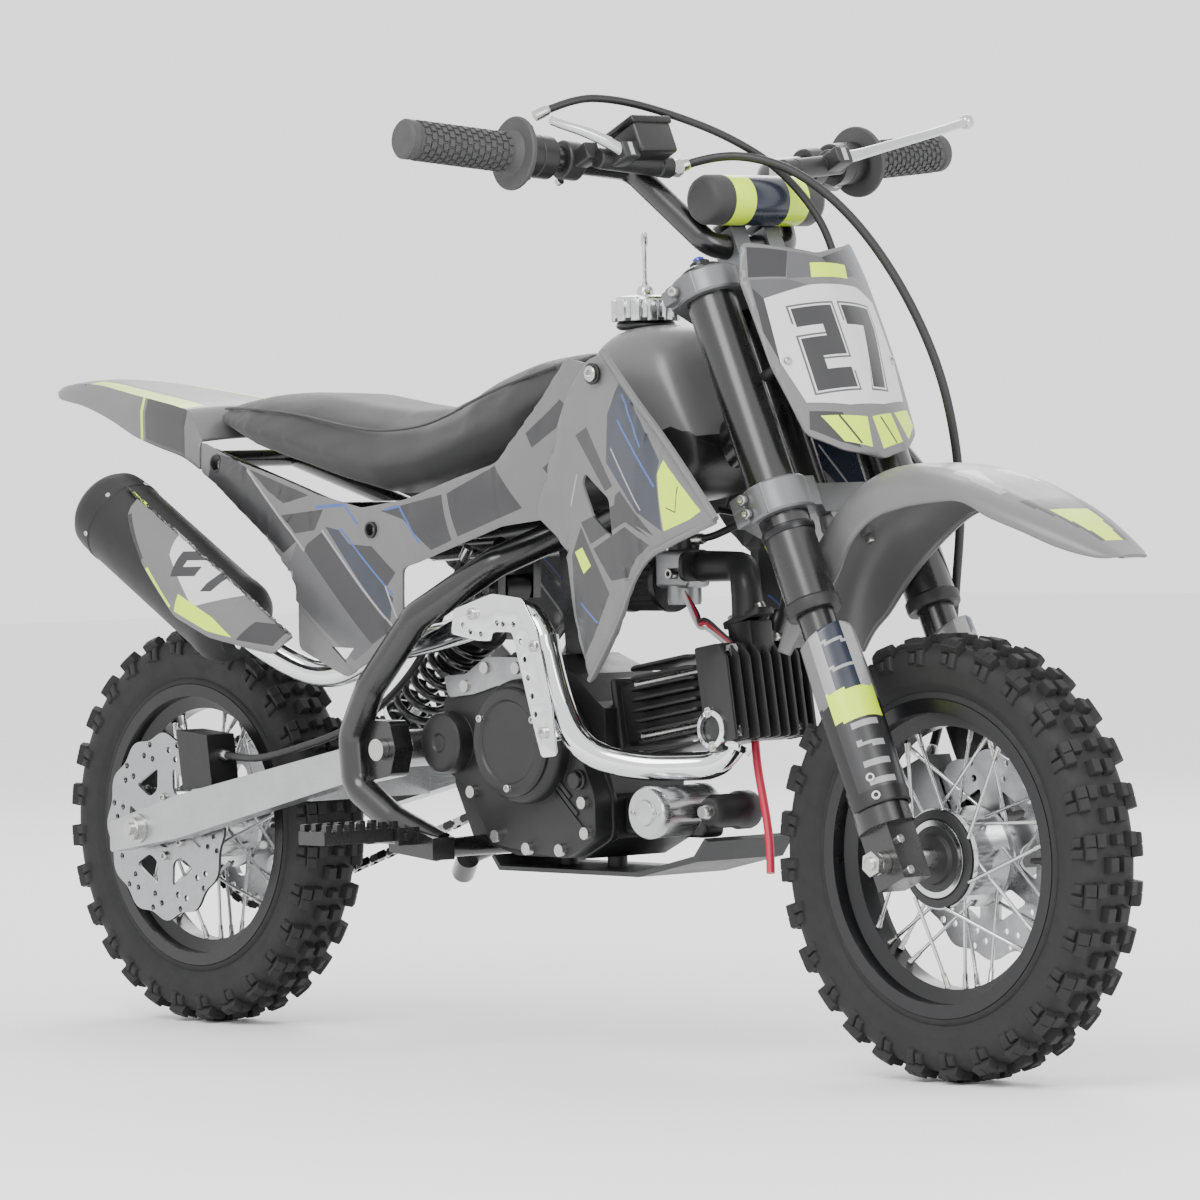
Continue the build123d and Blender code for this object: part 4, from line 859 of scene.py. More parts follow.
class DIRTBIKE_OT_panels(Maker, bpy.types.Operator):
    """Side panels and radiator shrouds with their printed films"""
    bl_idname = "dirtbike.panels"
    bl_label = "Panels and shrouds"

    def execute(self, context):
        outline = rounded(PANEL_TOP + PANEL_LOW, 5, 2)
        (x0, z0), (x1, z1) = STEP_LINE
        away = Vector((z1 - z0, x0 - x1)).normalized()
        for name, way in (("right", -1), ("left", 1)):
            flat = moulding(outline, 9, PANEL_PRINT)
            for offset in (0, 1.6):
                point = (x0 + away.x * offset, z0 + away.y * offset)
                cut_along(flat, point, away, (-402, 140, -140, 345))
            for centre, radius in (((-375, 346), 8), ((-129, 283), 7)):
                mark(flat, round_points(radius, 14, centre))
            mark(flat, [(-196, 176), (-159, 175), (-176, 161)])
            piece = Piece(*FILMS)
            piece.put(upright(flat, way, PANEL_PLAN, 2.0, STEP_LINE), closed=False)
            made = piece.done(f"side_panel_{name}_printed", "chassis", [f"side_panel_{name}"],
                              crease=24)
            self.wall(made, way)
            flat = moulding(rounded(SHROUD, 6, 2), 9, SHROUD_PRINT, [rounded(WINDOW, 4, 2)])
            piece = Piece(*FILMS)
            piece.put(upright(flat, way, SHROUD_PLAN, 3.0), closed=False)
            made = piece.done(f"shroud_{name}_printed", "chassis", [f"shroud_{name}"],
                              crease=24)
            self.wall(made, way)
            self.trim(name, way)
        return {"FINISHED"}

    def wall(self, made, way):
        """The moulding's thickness, inwards, with a small round at its rim."""
        walled(made, Vector((0, way, 0)), self.sizes.panel_wall)
        rim = made.modifiers.new("rim", "BEVEL")
        rim.width = 0.0006
        rim.segments = 2
        rim.limit_method = "ANGLE"
        rim.angle_limit = math.radians(60)

    def trim(self, name, way):
        """The raised front edge of the shroud, its screw and the eyelets."""
        piece = Piece("moulded_grey_plastic", "zinc_plated_steel", "moulded_black_plastic")
        front = [(205, 436), (250, 397), (296, 361), (345, 314), (368, 290)]
        line = [(x, way * (between(SHROUD_PLAN, x)[0] + 1.2), z) for x, z in front]
        piece.put(pipe(line, 3.4, sides=10))
        low = [(366, 288), (310, 272), (257, 254), (216, 193), (171, 150)]
        line = [(x, way * (between(SHROUD_PLAN, x)[0] + 0.2), z) for x, z in low]
        piece.put(pipe(line, 2.6, sides=10))
        at = (190, way * 122.5, 417)
        piece.put(cap_screw(7, 4.5, 18), aimed(at, (0, way, 0)), 1)
        piece.put(spun([(7.4, -1), (9.6, -1), (9.6, 1.2), (7.4, 1.4)], 20, closed=True),
                  aimed(at, (0, way, 0)), 2)
        for x, z, y, radius in ((-375, 346, 90, 8), (-129, 283, 109.5, 7)):
            ring = spun([(radius - 1.6, -7), (radius + 0.4, -7), (radius + 0.4, 0.4), (radius - 1.6, 0.4)],
                        20,
                        closed=True)
            piece.put(ring, aimed((x, way * y, z), (0, way, 0)), 2)
            piece.put(cap_screw(3.6, 4, 12), aimed((x, way * (y - 9), z), (0, way, 0)), 1)
        piece.done(f"panel_trim_{name}", "chassis", crease=40)


class DIRTBIKE_OT_fenders(Maker, bpy.types.Operator):
    """Front mudguard and tail"""
    bl_idname = "dirtbike.fenders"
    bl_label = "Mudguards"

    def execute(self, context):
        self.front()
        self.tail()
        return {"FINISHED"}

    def front(self):
        stations = [(319, 178, 350, 172, 46), (331, 208, 364, 190, 46), (346, 238, 383, 206, 46),
                    (362, 264, 400, 226, 47), (384, 288, 418, 246, 50), (412, 309, 440, 269, 58),
                    (446, 328, 468, 288, 61), (480, 335, 500, 297, 61), (520, 333, 540, 302, 61),
                    (565, 323, 574, 302, 60.5), (608, 308, 604, 289, 59), (640, 295, 636, 277, 53),
                    (672, 280, 668, 263, 42), (700, 264, 698, 254.5, 29), (714, 256.5, 714, 255, 15)]

        def shape(u, v):
            x, z, ex, ez, half = smooth_at(stations, u)
            t = 2 * v - 1
            drop = abs(t) ** 2.6
            ridge = 2.4 * max(0, 1 - abs(abs(t) - 0.34) / 0.12) * min(1, max(0, (u - 0.42) * 6))
            return (x + (ex - x) * drop, half * math.sin(t * math.pi / 2),
                    z + (ez - z) * drop + ridge * (1 - u) - 1.0)

        bm = sheet(84, 50, shape)
        for f in bm.faces:
            x, y, z = f.calc_center_median()
            side_y = abs(y)
            if 618 < x < 690:
                share = (x - 618) / 72
                if share > 0.3 and side_y < 30 - 20 * share:
                    f.material_index = LIME
                elif side_y < 38 - 22 * share:
                    f.material_index = DARK
            elif 545 < x < 600 and 12 + (x - 545) * 0.4 < side_y < 40:
                f.material_index = LIGHT
        piece = Piece(*FILMS)
        piece.put(bm, closed=False)
        made = piece.done("front_fender_curved", "steering", ["front_fender"], crease=35)
        walled(made, Vector((0, 0, 1)), self.sizes.panel_wall)
        posts = Piece("moulded_grey_plastic", "zinc_plated_steel")
        for y in (22, -22):
            posts.put(spun([(0, 300), (6, 300), (7.5, 306), (6, 317), (0, 317)], 20),
                      FORK @ Matrix.Translation((0, y, 0)))
            posts.put(cap_screw(4.4, 4, 12), FORK @ aimed((0, y, 296), (0, 0, -1)), 1)
        posts.done("front_fender_posts", "steering", crease=40)

    def tail(self):
        stations = [(-714, 424.5, 420, 15), (-690, 428, 413, 31), (-662, 430, 409, 40),
                    (-633, 430.5, 405, 47),
                    (-596, 428, 397, 56), (-560, 423, 387, 64), (-520, 417, 374, 72.5), (-480, 411, 364, 79),
                    (-440, 404, 355, 83.5), (-424, 398, 350, 85), (-403.5, 372, 341, 86.8)]

        def shape(u, v):
            x, z, low, half = smooth_at(stations, u)
            t = 2 * v - 1
            if abs(t) < 0.7:
                s = t / 0.7
                return (x, (half - 4) * s, z - 4 * s * s)
            s = (abs(t) - 0.7) / 0.3
            way = 1 if t > 0 else -1
            return (x, way * (half - 4 + 4 * min(1, s * 3)), z - 4 - (z - 4 - low) * s)

        bm = sheet(90, 60, shape)
        for f in bm.faces:
            x, y, z = f.calc_center_median()
            half = between([(s[0], s[3]) for s in stations], x)[0]
            share = abs(y) / half
            if share < 0.93 and -632 < x < -436:
                f.material_index = LIME if share > 0.62 and -620 < x else DARK if share > 0.5 else GREY
            elif -508 < x < -500:
                f.material_index = LIME
            elif -500 < x < -428:
                f.material_index = DARK
        piece = Piece(*FILMS)
        piece.put(bm, closed=False)
        made = piece.done("tail_fender_curved", "chassis", ["tail_fender"], crease=35)
        walled(made, Vector((0, 0, 1)), self.sizes.panel_wall)


PLATE_WALL = 2.6
TWO = [(0, 1.5), (1, 1.5), (1, 0.6), (0.38, 0.6), (0.38, 0.36), (1, 0.36), (1, 0), (0, 0), (0, 0.95),
       (0.62, 0.95), (0.62, 1.16), (0, 1.16)]
SEVEN = [(0, 1.5), (1, 1.5), (1, 1.1), (0.6, 0), (0.18, 0), (0.56, 1.14), (0, 1.14)]


def numeral(outline, corner, width, height, grow=0.0):
    """A block numeral's outline, set at its lower left corner and grown about its middle."""
    made = []
    for x, y in outline:
        px, py = corner[0] + x * width, corner[1] + y / 1.5 * height
        mx, my = corner[0] + width / 2, corner[1] + height / 2
        made.append((px + grow * (1 if px > mx else -1), py + grow * (1 if py > my else -1)))
    return made


class DIRTBIKE_OT_number_plate(Maker, bpy.types.Operator):
    """Front number plate with a plain race number"""
    bl_idname = "dirtbike.number_plate"
    bl_label = "Number plate"

    def execute(self, context):
        outline = [(-66, 556), (-40, 546), (0, 536), (40, 546), (66, 556), (77, 522), (76, 440), (66, 372),
                   (38, 352), (0, 341), (-38, 352), (-66, 372), (-76, 440), (-77, 522)]
        field = [(-64, 500), (-20, 506), (40, 506), (66, 496), (68, 440), (58, 400), (20, 392), (-20, 392),
                 (-58, 400), (-68, 440)]
        marks = [
            ([(-63, 550), (-30, 540), (-40, 516), (-70, 522)], DARK),
            ([(-30, 540), (4, 532), (22, 512), (-40, 514)], MIDDLE),
            ([(4, 532), (30, 540), (44, 518), (22, 512)], DARK),
            ([(30, 540), (60, 549), (70, 520), (44, 516)], NAVY),
            ([(-70, 520), (-40, 514), (-24, 507), (-72, 492)], MIDDLE),
            ([(-70, 512), (-64, 500), (-68, 440), (-73, 470)], DARK),
            (field, WHITE),
            ([(-12, 527), (34, 527), (30, 513), (-16, 513)], LIME),
            (numeral(TWO, (-46, 408), 40, 78, 3.4), MIDDLE), (numeral(SEVEN, (6, 408), 40, 78, 3.4), MIDDLE),
            (numeral(TWO, (-46, 408), 40, 78, 1.6), WHITE), (numeral(SEVEN, (6, 408), 40, 78, 1.6), WHITE),
            (numeral(TWO, (-46, 408), 40, 78), DARK), (numeral(SEVEN, (6, 408), 40, 78), DARK),
            ([(-58, 392), (-30, 386), (-22, 352), (-40, 360), (-62, 376)], DARK),
            ([(-50, 386), (-6, 380), (-10, 352), (-36, 360)], LIME),
            ([(0, 380), (26, 384), (32, 358), (2, 350)], LIME),
            ([(32, 385), (60, 392), (64, 378), (44, 362)], LIME),
            (band([(-34, 384), (-20, 356)], 2.2), DARK),
            (band([(10, 380), (22, 356)], 2.2), DARK),
        ]
        bm = moulding(rounded(outline, 7, 3), 8, marks)
        for v in bm.verts:
            y, s = v.co.x, v.co.y
            v.co = (70 - 26 * (y / 78) ** 2 - 3.0 * ((s - 446) / 108) ** 2, y, s)
        piece = Piece(*FILMS)
        piece.put(bm, closed=False)
        made = piece.done("number_plate_printed", "steering", ["number_plate"], crease=30,
                          frame_place=FORK)
        walled(made, Vector((1, 0, 0)), PLATE_WALL)
        held = Piece("moulded_black_plastic", "zinc_plated_steel")
        for y in (62, -62):
            held.put(spun([(0, 22), (5, 22), (5, 48), (7, 50), (0, 50)], 16), aimed((0, y, 440), (1, 0, 0)))
            held.put(cap_screw(4, 3, 12), aimed((52.4, y, 440), (1, 0, 0)), 1)
        held.done("number_plate_mounts", "steering", frame_place=FORK, crease=40)
        return {"FINISHED"}


# ---- tank and seat ----
def ring(x, half, low, high, power, count=28):
    """A squarish closed section across the bike."""
    middle_z, reach = (low + high) / 2, (high - low) / 2
    points = []
    for n in range(count):
        a = math.tau * n / count
        c, s = math.cos(a), math.sin(a)
        points.append((x, half * math.copysign(abs(c) ** (2 / power), c),
                       middle_z + reach * math.copysign(abs(s) ** (2 / power), s)))
    return points


class DIRTBIKE_OT_tank(Maker, bpy.types.Operator):
    """Fuel tank with its neck, and the ribbed filler cap with its breather"""
    bl_idname = "dirtbike.tank"
    bl_label = "Tank and cap"

    def execute(self, context):
        sections = [(-38, 44, 292, 318), (0, 50, 292, 327), (30, 55, 293, 334), (60, 59, 295, 357),
                    (84, 62, 297, 384), (104, 65, 298, 420), (116, 67, 299, 447), (132, 68, 300, 459),
                    (158, 67, 301, 461.5), (186, 62, 303, 460), (204, 59, 305, 447), (222, 55, 312, 410),
                    (236, 49, 326, 374), (243, 40, 338, 356)]
        bm = lofted([ring(x, half, low, high, 3.4) for x, half, low, high in sections])
        bmesh.ops.bisect_plane(bm, geom=bm.verts[:] + bm.edges[:] + bm.faces[:], plane_co=(120, 0, 392),
                               plane_no=(0.25, 0, 1))
        bmesh.ops.recalc_face_normals(bm, faces=bm.faces)
        for f in bm.faces:
            x, _, z = f.calc_center_median()
            f.material_index = 0 if z > 392 - 0.25 * (x - 120) else 1
        piece = Piece("moulded_grey_plastic", "moulded_black_plastic")
        piece.put(bm)
        piece.put(spun([(0, 456), (27, 456), (27, 462), (24.5, 466), (0, 466)], 40),
                  Matrix.Translation((127, 0, 0)), 1)
        piece.done("fuel_tank_moulded", "chassis", ["fuel_tank"], crease=60, levels=1)
        cap = Piece("polished_aluminium", "moulded_black_plastic")
        lobes = []
        for n in range(12):
            for share, radius in ((-0.36, 28.2), (-0.24, 31), (0.24, 31), (0.36, 28.2)):
                a = math.tau * (n + share) / 12
                lobes.append((radius * math.cos(a), radius * math.sin(a)))
        place = Matrix.Translation((127, 0, 464.5))
        cap.put(soften(slab(lobes, 19), 0.8), place)
        cap.put(spun([(0, 18), (27, 18), (26, 21.5), (20, 23), (8, 23.4), (7, 29), (5, 31.5), (0, 31.5)],
                     40), place)
        cap.put(spun([(26.4, 0), (29.4, 0), (29.4, 3), (26.4, 3)], 40, closed=True), place, 1)
        mast = [(0, 30), (3.1, 30), (3.1, 34), (1.9, 36), (1.9, 66), (3.2, 68), (3.2, 74), (2, 79), (0, 79)]
        cap.put(spun(mast, 16), place)
        cap.done("fuel_cap_ribbed", "fuel_cap", ["fuel_cap"], crease=35)
        return {"FINISHED"}


class DIRTBIKE_OT_seat(Maker, bpy.types.Operator):
    """Padded seat under a stretched grained cover"""
    bl_idname = "dirtbike.seat"
    bl_label = "Seat"

    def execute(self, context):
        sections = [(-420, 38, 389, 396), (-411, 54, 381, 401), (-396, 66, 374, 403.5), (-341, 83, 355, 406),
                    (-269, 91, 338, 403), (-206, 96, 323, 393), (-146, 98.5, 311, 386), (-84, 98.5, 318, 388),
                    (-40, 97.5, 329, 400), (-12, 97, 337, 412), (40, 90, 352, 429), (76, 72, 380, 436),
                    (97, 54, 402, 438)]
        rings = []
        for x, half, low, top in sections:
            edge = low + 0.42 * (top - low)
            points = []
            for n in range(17):
                a = math.pi * n / 16
                c, s = math.cos(a), math.sin(a)
                points.append((x, half * math.copysign(abs(c) ** 0.62, c), edge + (top - edge) * s ** 0.86))
            for n in range(1, 9):
                t = n / 9
                y = -half + 2 * half * t
                points.append((x, y * 0.985, low + 4 + (edge - low - 4) * (2 * t - 1) ** 8))
            rings.append(points)
        piece = Piece("grained_seat_vinyl")
        piece.put(lofted(rings))
        made = piece.done("seat_cover", "chassis", ["seat"], crease=70)
        mesh_voxels(made, 0.0045)
        swell(made, self.sizes.seat_swell)
        relax(made, 2)
        made.data.polygons.foreach_set("use_smooth", [True] * len(made.data.polygons))
        seam = Piece("grained_seat_vinyl")
        for way in (1, -1):
            line = []
            for x, half, low, top in sections[1:-1]:
                edge = low + 0.42 * (top - low)
                a = math.radians(38)
                line.append((x, way * (half * math.cos(a) ** 0.62 + 0.6),
                             edge + (top - edge) * math.sin(a) ** 0.86 + 0.6))
            seam.put(pipe(line, 1.3, sides=8))
        seam.done("seat_piping", "chassis", crease=60)
        return {"FINISHED"}


def mesh_voxels(made, size):
    """Rebuilds a closed mesh from even cells."""
    step = made.modifiers.new("voxels", "REMESH")
    step.mode = "VOXEL"
    step.voxel_size = size
    step.use_smooth_shade = True
    apply_modifiers(made)


def apply_modifiers(made):
    """Makes the modified shape the mesh itself, and keeps its materials."""
    graph = bpy.context.evaluated_depsgraph_get()
    final = bpy.data.meshes.new_from_object(made.evaluated_get(graph))
    old = made.data
    made.modifiers.clear()
    made.data = final
    final.materials.clear()
    for m in old.materials:
        final.materials.append(m)


def relax(made, times):
    """Smooths a mesh by moving its points, some number of times."""
    bm = bmesh.new()
    bm.from_mesh(made.data)
    for _ in range(times):
        bmesh.ops.smooth_vert(bm, verts=bm.verts, factor=0.5, use_axis_x=True, use_axis_y=True,
                              use_axis_z=True)
    bm.to_mesh(made.data)
    bm.free()


def swell(made, cap):
    """Blows a cover out by cloth pressure, holding its underside, and caps how far it may rise."""
    rest = [v.co.copy() for v in made.data.vertices]
    held = made.vertex_groups.new(name="held")
    held.add([v.index for v in made.data.vertices if v.normal.z < -0.4], 1.0, "REPLACE")
    cloth = made.modifiers.new("cover", "CLOTH")
    cloth.settings.use_pressure = True
    cloth.settings.uniform_pressure_force = 4
    cloth.settings.effector_weights.gravity = 0
    cloth.settings.vertex_group_mass = "held"
    cloth.point_cache.frame_start, cloth.point_cache.frame_end = 1, 20
    for step in range(1, 21):
        bpy.context.scene.frame_set(step)
    graph = bpy.context.evaluated_depsgraph_get()
    blown = made.evaluated_get(graph).to_mesh()
    after = [v.co.copy() for v in blown.vertices]
    made.evaluated_get(graph).to_mesh_clear()
    made.modifiers.clear()
    made.vertex_groups.clear()
    for v, before, new in zip(made.data.vertices, rest, after):
        move = new - before
        if move.length > cap:
            move = move.normalized() * cap
        v.co = before + move
    bpy.context.scene.frame_set(1)


class DIRTBIKE_OT_fork(Maker, bpy.types.Operator):
    """Fork guards, seals, caps, clamp collars and pinch bolts"""
    bl_idname = "dirtbike.fork"
    bl_label = "Fork details"

    def execute(self, context):
        guard = Piece(*FILMS, "moulded_black_plastic")
        black = len(FILMS)
        for y in (72, -72):
            way = 1 if y > 0 else -1

            def shape(u, v):
                a = math.radians(-104 + 204 * v)
                top = 210 - 16 * abs((a - 0.2) / 1.8) ** 1.5
                s = 47 + (top - 47) * u
                out = 27.2 + 1.6 * math.sin(math.pi * u)
                return (out * math.cos(a), y + way * out * math.sin(a), s)

            bm = sheet(60, 40, shape)
            for f in bm.faces:
                x, fy, s = f.calc_center_median()
                a = math.degrees(math.atan2((fy - y) * way, x))
                index = black
                if -20 < a < 75:
                    if s > 150:
                        index = NAVY if 8 < a < 52 and s % 24 > 3 else LIGHT
                    elif s > 122:
                        index = LIME
                    elif s > 60:
                        index = LIGHT if s % 17 > 12 and 0 < a < 50 else DARK
                elif s > 140:
                    index = GREY
                f.material_index = index
            bmesh.ops.recalc_face_normals(bm, faces=bm.faces)
            if sum((f.calc_center_median() - Vector((0, y, f.calc_center_median().z))).dot(f.normal)
                   for f in bm.faces) < 0:
                bmesh.ops.reverse_faces(bm, faces=bm.faces)
            guard.put(bm, closed=False)
        guard.done("fork_guards_printed", "fork_lowers", ["fork_guards"], crease=30,
                   frame_place=FORK, wall=2.2)
        lowers = Piece("zinc_plated_steel", "extruded_hose_rubber")
        for y in (72, -72):
            way = 1 if y > 0 else -1
            for a, s in ((24.4, 54), (24.4, 70)):
                lowers.put(cap_screw(4.2, 4, 12), aimed((a * 0.72, y + way * a * 0.72, s), (1, way, 0)), 0)
            for s in (-14, 14):
                lowers.put(cap_screw(4, 3.6, 12), aimed((17, y + way * 8, s), (1, 0, 0)), 0)
            lowers.put(hex_nut(11, 8, 6), aimed((0, way * 96, 0), (0, way, 0)), 0)
        lowers.done("fork_lower_screws", "fork_lowers", crease=35, frame_place=FORK)
        uppers = Piece("anodised_black_aluminium", "extruded_hose_rubber", "painted_silver_clamp",
                       "zinc_plated_steel", "blue_anodised")
        for y in (72, -72):
            way = 1 if y > 0 else -1
            leg = Matrix.Translation((0, y, 0))
            uppers.put(spun([(16.6, 228), (23.4, 228), (24.2, 231), (24.2, 238), (22.4, 240), (22.4, 229)],
                            40,
                            closed=True), leg, 1)
            uppers.put(spun([(22.2, 300), (23, 300), (23.6, 303), (23.6, 306), (22.2, 307)], 40,
                            closed=True), leg, 0)
            cap = [(0, 548), (20, 548), (20, 551), (17, 553), (9, 553), (9, 559), (7.5, 560), (0, 560)]
            uppers.put(spun(cap, 36), leg, 0)
            uppers.put(spun([(0, 559), (5, 559), (5, 563), (3.6, 564), (0, 564)], 20), leg, 4)
            for low, high in ((317, 346), (524, 546)):
                collar = [(22.1, low), (28.6, low), (30.2, low + 2), (30.2, high - 2), (28.6, high),
                          (22.1, high)]
                uppers.put(spun(collar, 56, closed=True), leg, 2)
                for s in ((low + 8, high - 8) if low < 400 else ((low + high) / 2,)):
                    ear = soften(box((-26, -5, -7), (-10, 5, 7)), 2)
                    uppers.put(ear, Matrix.Translation((0, y + way * 27, s)), 2)
                    uppers.put(cap_screw(4.6, 5, 14), aimed((-8, y + way * 32, s), (0.2, way, 0)), 3)
        uppers.put(spun([(0, 545), (17, 545), (17, 549), (13, 552), (13, 558), (6, 559), (0, 559)], 30),
                   Matrix.Translation((-40, 0, 0)), 3)
        for y in (20, -20):
            cap = soften(box((-16, -9.5, 0), (16, 9.5, 9)), 2)
            uppers.put(cap, Matrix.Translation((-5.5, y, 590.5)), 0)
            for a in (-11, 11):
                uppers.put(cap_screw(4, 4.2, 12), Matrix.Translation((-5.5 + a, y, 599.2)), 3)
        uppers.done("fork_upper_details", "steering", crease=35, frame_place=FORK)
        return {"FINISHED"}


# ---- engine ----
COVER = [(-71, 128), (-40, 150), (-11, 166), (34, 166), (78, 130), (112, 84), (131, 46), (131, 8), (91, -11),
         (-2, -1), (-22, 21), (-40, 52), (-66, 62)]
PORT_AXIS = CYLINDER @ Matrix.Translation((141, -50, 0))


class DIRTBIKE_OT_engine(Maker, bpy.types.Operator):
    """Rounded engine covers, finned cylinder and head, plug, carburettor fittings and starter"""
    bl_idname = "dirtbike.engine"
    bl_label = "Engine"

    def execute(self, context):
        self.covers()
        self.barrel()
        self.fittings()
        return {"FINISHED"}

    def covers(self):
        piece = Piece("coated_black_casting", "cast_bare_aluminium", "zinc_plated_steel",
                      "moulded_black_plastic")
        right = side(-76)
        outline = rounded(COVER, 9, 4)
        piece.put(soften(slab(outline, 25.6), 4, 3, 50), right)
        lip = rounded([(x * 1.015 - 0.4, z * 1.015 - 1) for x, z in COVER], 9, 4)
        piece.put(soften(slab(lip, 5), 1, 2, 50), side(-55.4))
        disc = aimed((45, -76, 93), (0, -1, 0))
        piece.put(spun([(0, -1), (56, -1), (56, 9), (54.5, 14), (51, 17.5), (49, 18.5), (49, 22), (47, 24.4),
                        (43, 25.6), (38, 25.6), (36, 23.8), (0, 23.8)], 72), disc)
        for n in range(3):
            a = math.radians(30 + 120 * n)
            piece.put(cap_screw(3.6, 3.5, 14),
                      disc @ Matrix.Translation((41 * math.cos(a), 41 * math.sin(a), 25.2)), 2)
        small = aimed((-58, -50.2, 90), (0, -1, 0))
        piece.put(spun([(0, 0), (28, 0), (28, 36), (26.5, 41), (22, 43.6), (9, 43.6), (7, 42), (0, 42)], 56),
                  small)
        plate = rounded([(-66, 150), (-36, 152), (-8, 168), (36, 168), (58, 150), (40, 142), (8, 142),
                         (-24, 134),
                         (-60, 130)], 5, 3)
        piece.put(soften(slab(plate, 3), 0.8), side(-79.2), 1)
        filler = aimed((112, -76, 60), (0, -1, 0))
        piece.put(spun([(0, 0), (9, 0), (9, 3), (7.6, 4), (7.6, 8), (6.5, 9), (0, 9)], 24), filler, 3)
        for n in range(3):
            rib = soften(box((-30, -2, 0), (30, 2, 2.4)), 0.8)
            place = side(-78.2, 96 - 9 * n, 34 + 15 * n) @ Matrix.Rotation(math.radians(-42), 4, "Z")
            piece.put(rib, place)
        left = aimed((45, 44.2, 93), (0, 1, 0))
        piece.put(spun([(0, 0), (58, 0), (58, 24), (56, 28.5), (51, 30.4), (50, 33), (47, 34.8), (14, 34.8),
                        (12, 33), (0, 33)], 72), left)
        for n in range(6):
            a = math.radians(60 * n)
            piece.put(cap_screw(3.6, 3.5, 12),
                      left @ Matrix.Rotation(a, 4, "Z") @ Matrix.Translation((53.4, 0, 28.6)), 2)
        piece.done("engine_covers_cast", "chassis", ["engine_covers"], crease=32)

    def barrel(self):
        piece = Piece("coated_black_casting", "coated_grey_casting", "zinc_plated_steel")
        piece.put(soften(box((3, -30, 2), (129, 30, 60)), 7, 3), CYLINDER)
        piece.put(soften(box((0, -36, -4), (8, 36, 64)), 3, 2), CYLINDER)
        for n in range(9):
            level = -7 + 9.1 * n
            deep = 46.6 - 0.25 * abs(n - 4) ** 2
            fin = rounded([(33, -deep), (118.6, -deep), (118.6, deep), (33, deep)], 9, 4)
            bm = soften(slab(fin, 2.8), 1.2, 2, 60)
            for v in bm.verts:
                v.co.z += 5.0 * (1 - ((v.co.x - 76) / 43) ** 2) * (1 if n > 4 else -1) * abs(n - 4) / 4
            piece.put(bm, CYLINDER @ Matrix.Translation((0, 0, level)))
        for y in (-38, 38):
            for z in (8, 54):
                rod = spun([(0, 0), (4.5, 0), (4.5, 84), (0, 84)], 12)
                piece.put(rod, CYLINDER @ aimed((34, y * 0.86, z), (1, 0, 0)), 2)
        piece.done("cylinder_finned", "chassis", ["cylinder"], crease=32)
        head = Piece("coated_grey_casting", "coated_black_casting", "zinc_plated_steel", "chromed_steel",
                     "cast_bare_aluminium")
        head.put(soften(box((128.3, -44, -12), (158, 44, 74)), 6, 3), CYLINDER)
        for n in range(9):
            y = -48 + 12 * n
            reach = 171.5 - 0.22 * abs(n - 4) ** 2
            fin = rounded([(130, -12), (reach, -12), (reach, 60), (reach - 8, 73), (130, 73)], 3, 3)
            bm = soften(slab(fin, 3.2), 1.3, 2, 60)
            head.put(bm, CYLINDER @ Matrix.Translation((0, y + 1.6, 0)) @ Matrix.Rotation(math.pi / 2, 4,
                                                                                          "X"))
        boss = soften(box((136, -14, 60), (166, 14, 92)), 3, 2)
        head.put(boss, CYLINDER, 1)
        for y in (-50, 50):
            way = 1 if y > 0 else -1
            cap = spun([(0, 0), (15, 0), (15, 3), (12, 5), (12, 7), (8, 8), (0, 8)], 24)
            if way > 0:
                head.put(cap, CYLINDER @ aimed((146, way * 44, 42), (0, way, 0)), 4)
        head.put(soften(box((132, -50, -20), (150, -42, 20)), 2, 2), CYLINDER)
        for z in (-15, 15):
            head.put(hex_nut(5, 5, 2.5), CYLINDER @ aimed((141, -49, z), (0, -1, 0)), 2)
        head.put(spun([(12, 0), (17, 0), (17, 3), (12.6, 4)], 32, closed=True), PORT_AXIS @
                 aimed((0, 0, 0), (0, -1, 0)), 3)
        for y in (-34, 34):
            for z in (-4, 66):
                head.put(hex_nut(6.5, 5, 3), CYLINDER @ aimed((158, y, z), (1, 0, 0)), 2)
        head.done("cylinder_head_finned", "chassis", ["cylinder_head"], crease=32)
        plug = Piece("zinc_plated_steel", "moulded_black_plastic", "extruded_hose_rubber",
                     "printed_white_film",
                     "red_silicone_hose")
        at = CYLINDER @ aimed((146, 26, 73), (0.25, 0.5, 1))
        plug.put(spun([(0, 0), (9, 0), (9, 7), (6, 8), (6, 12), (0, 12)], 24), at)
        plug.put(spun([(0, 10), (8, 10), (9, 13), (9, 26), (7, 30), (0, 31)], 24), at, 1)
        tip = at @ Vector((0, 0, 29))
        lead = [tip, tip + at.to_3x3() @ Vector((0, 0, 18)), (250, 44, 262), (214, 52, 290), (166, 50, 296)]
        plug.put(pipe(lead, 3.4, sides=12), None, 2)
        for shift, index in ((0, 3), (5, 4), (9, 2)):
            wire = [(250, -20 + shift, 176), (236, -26 + shift, 188), (222, -24, 194 + shift),
                    (206, -16, 192 + shift * 0.5), (192, -12 + shift, 206), (176, -6, 224)]
            plug.put(pipe(wire, 1.9, sides=8), None, index)
        plug.done("spark_plug_and_wires", "chassis", crease=40)

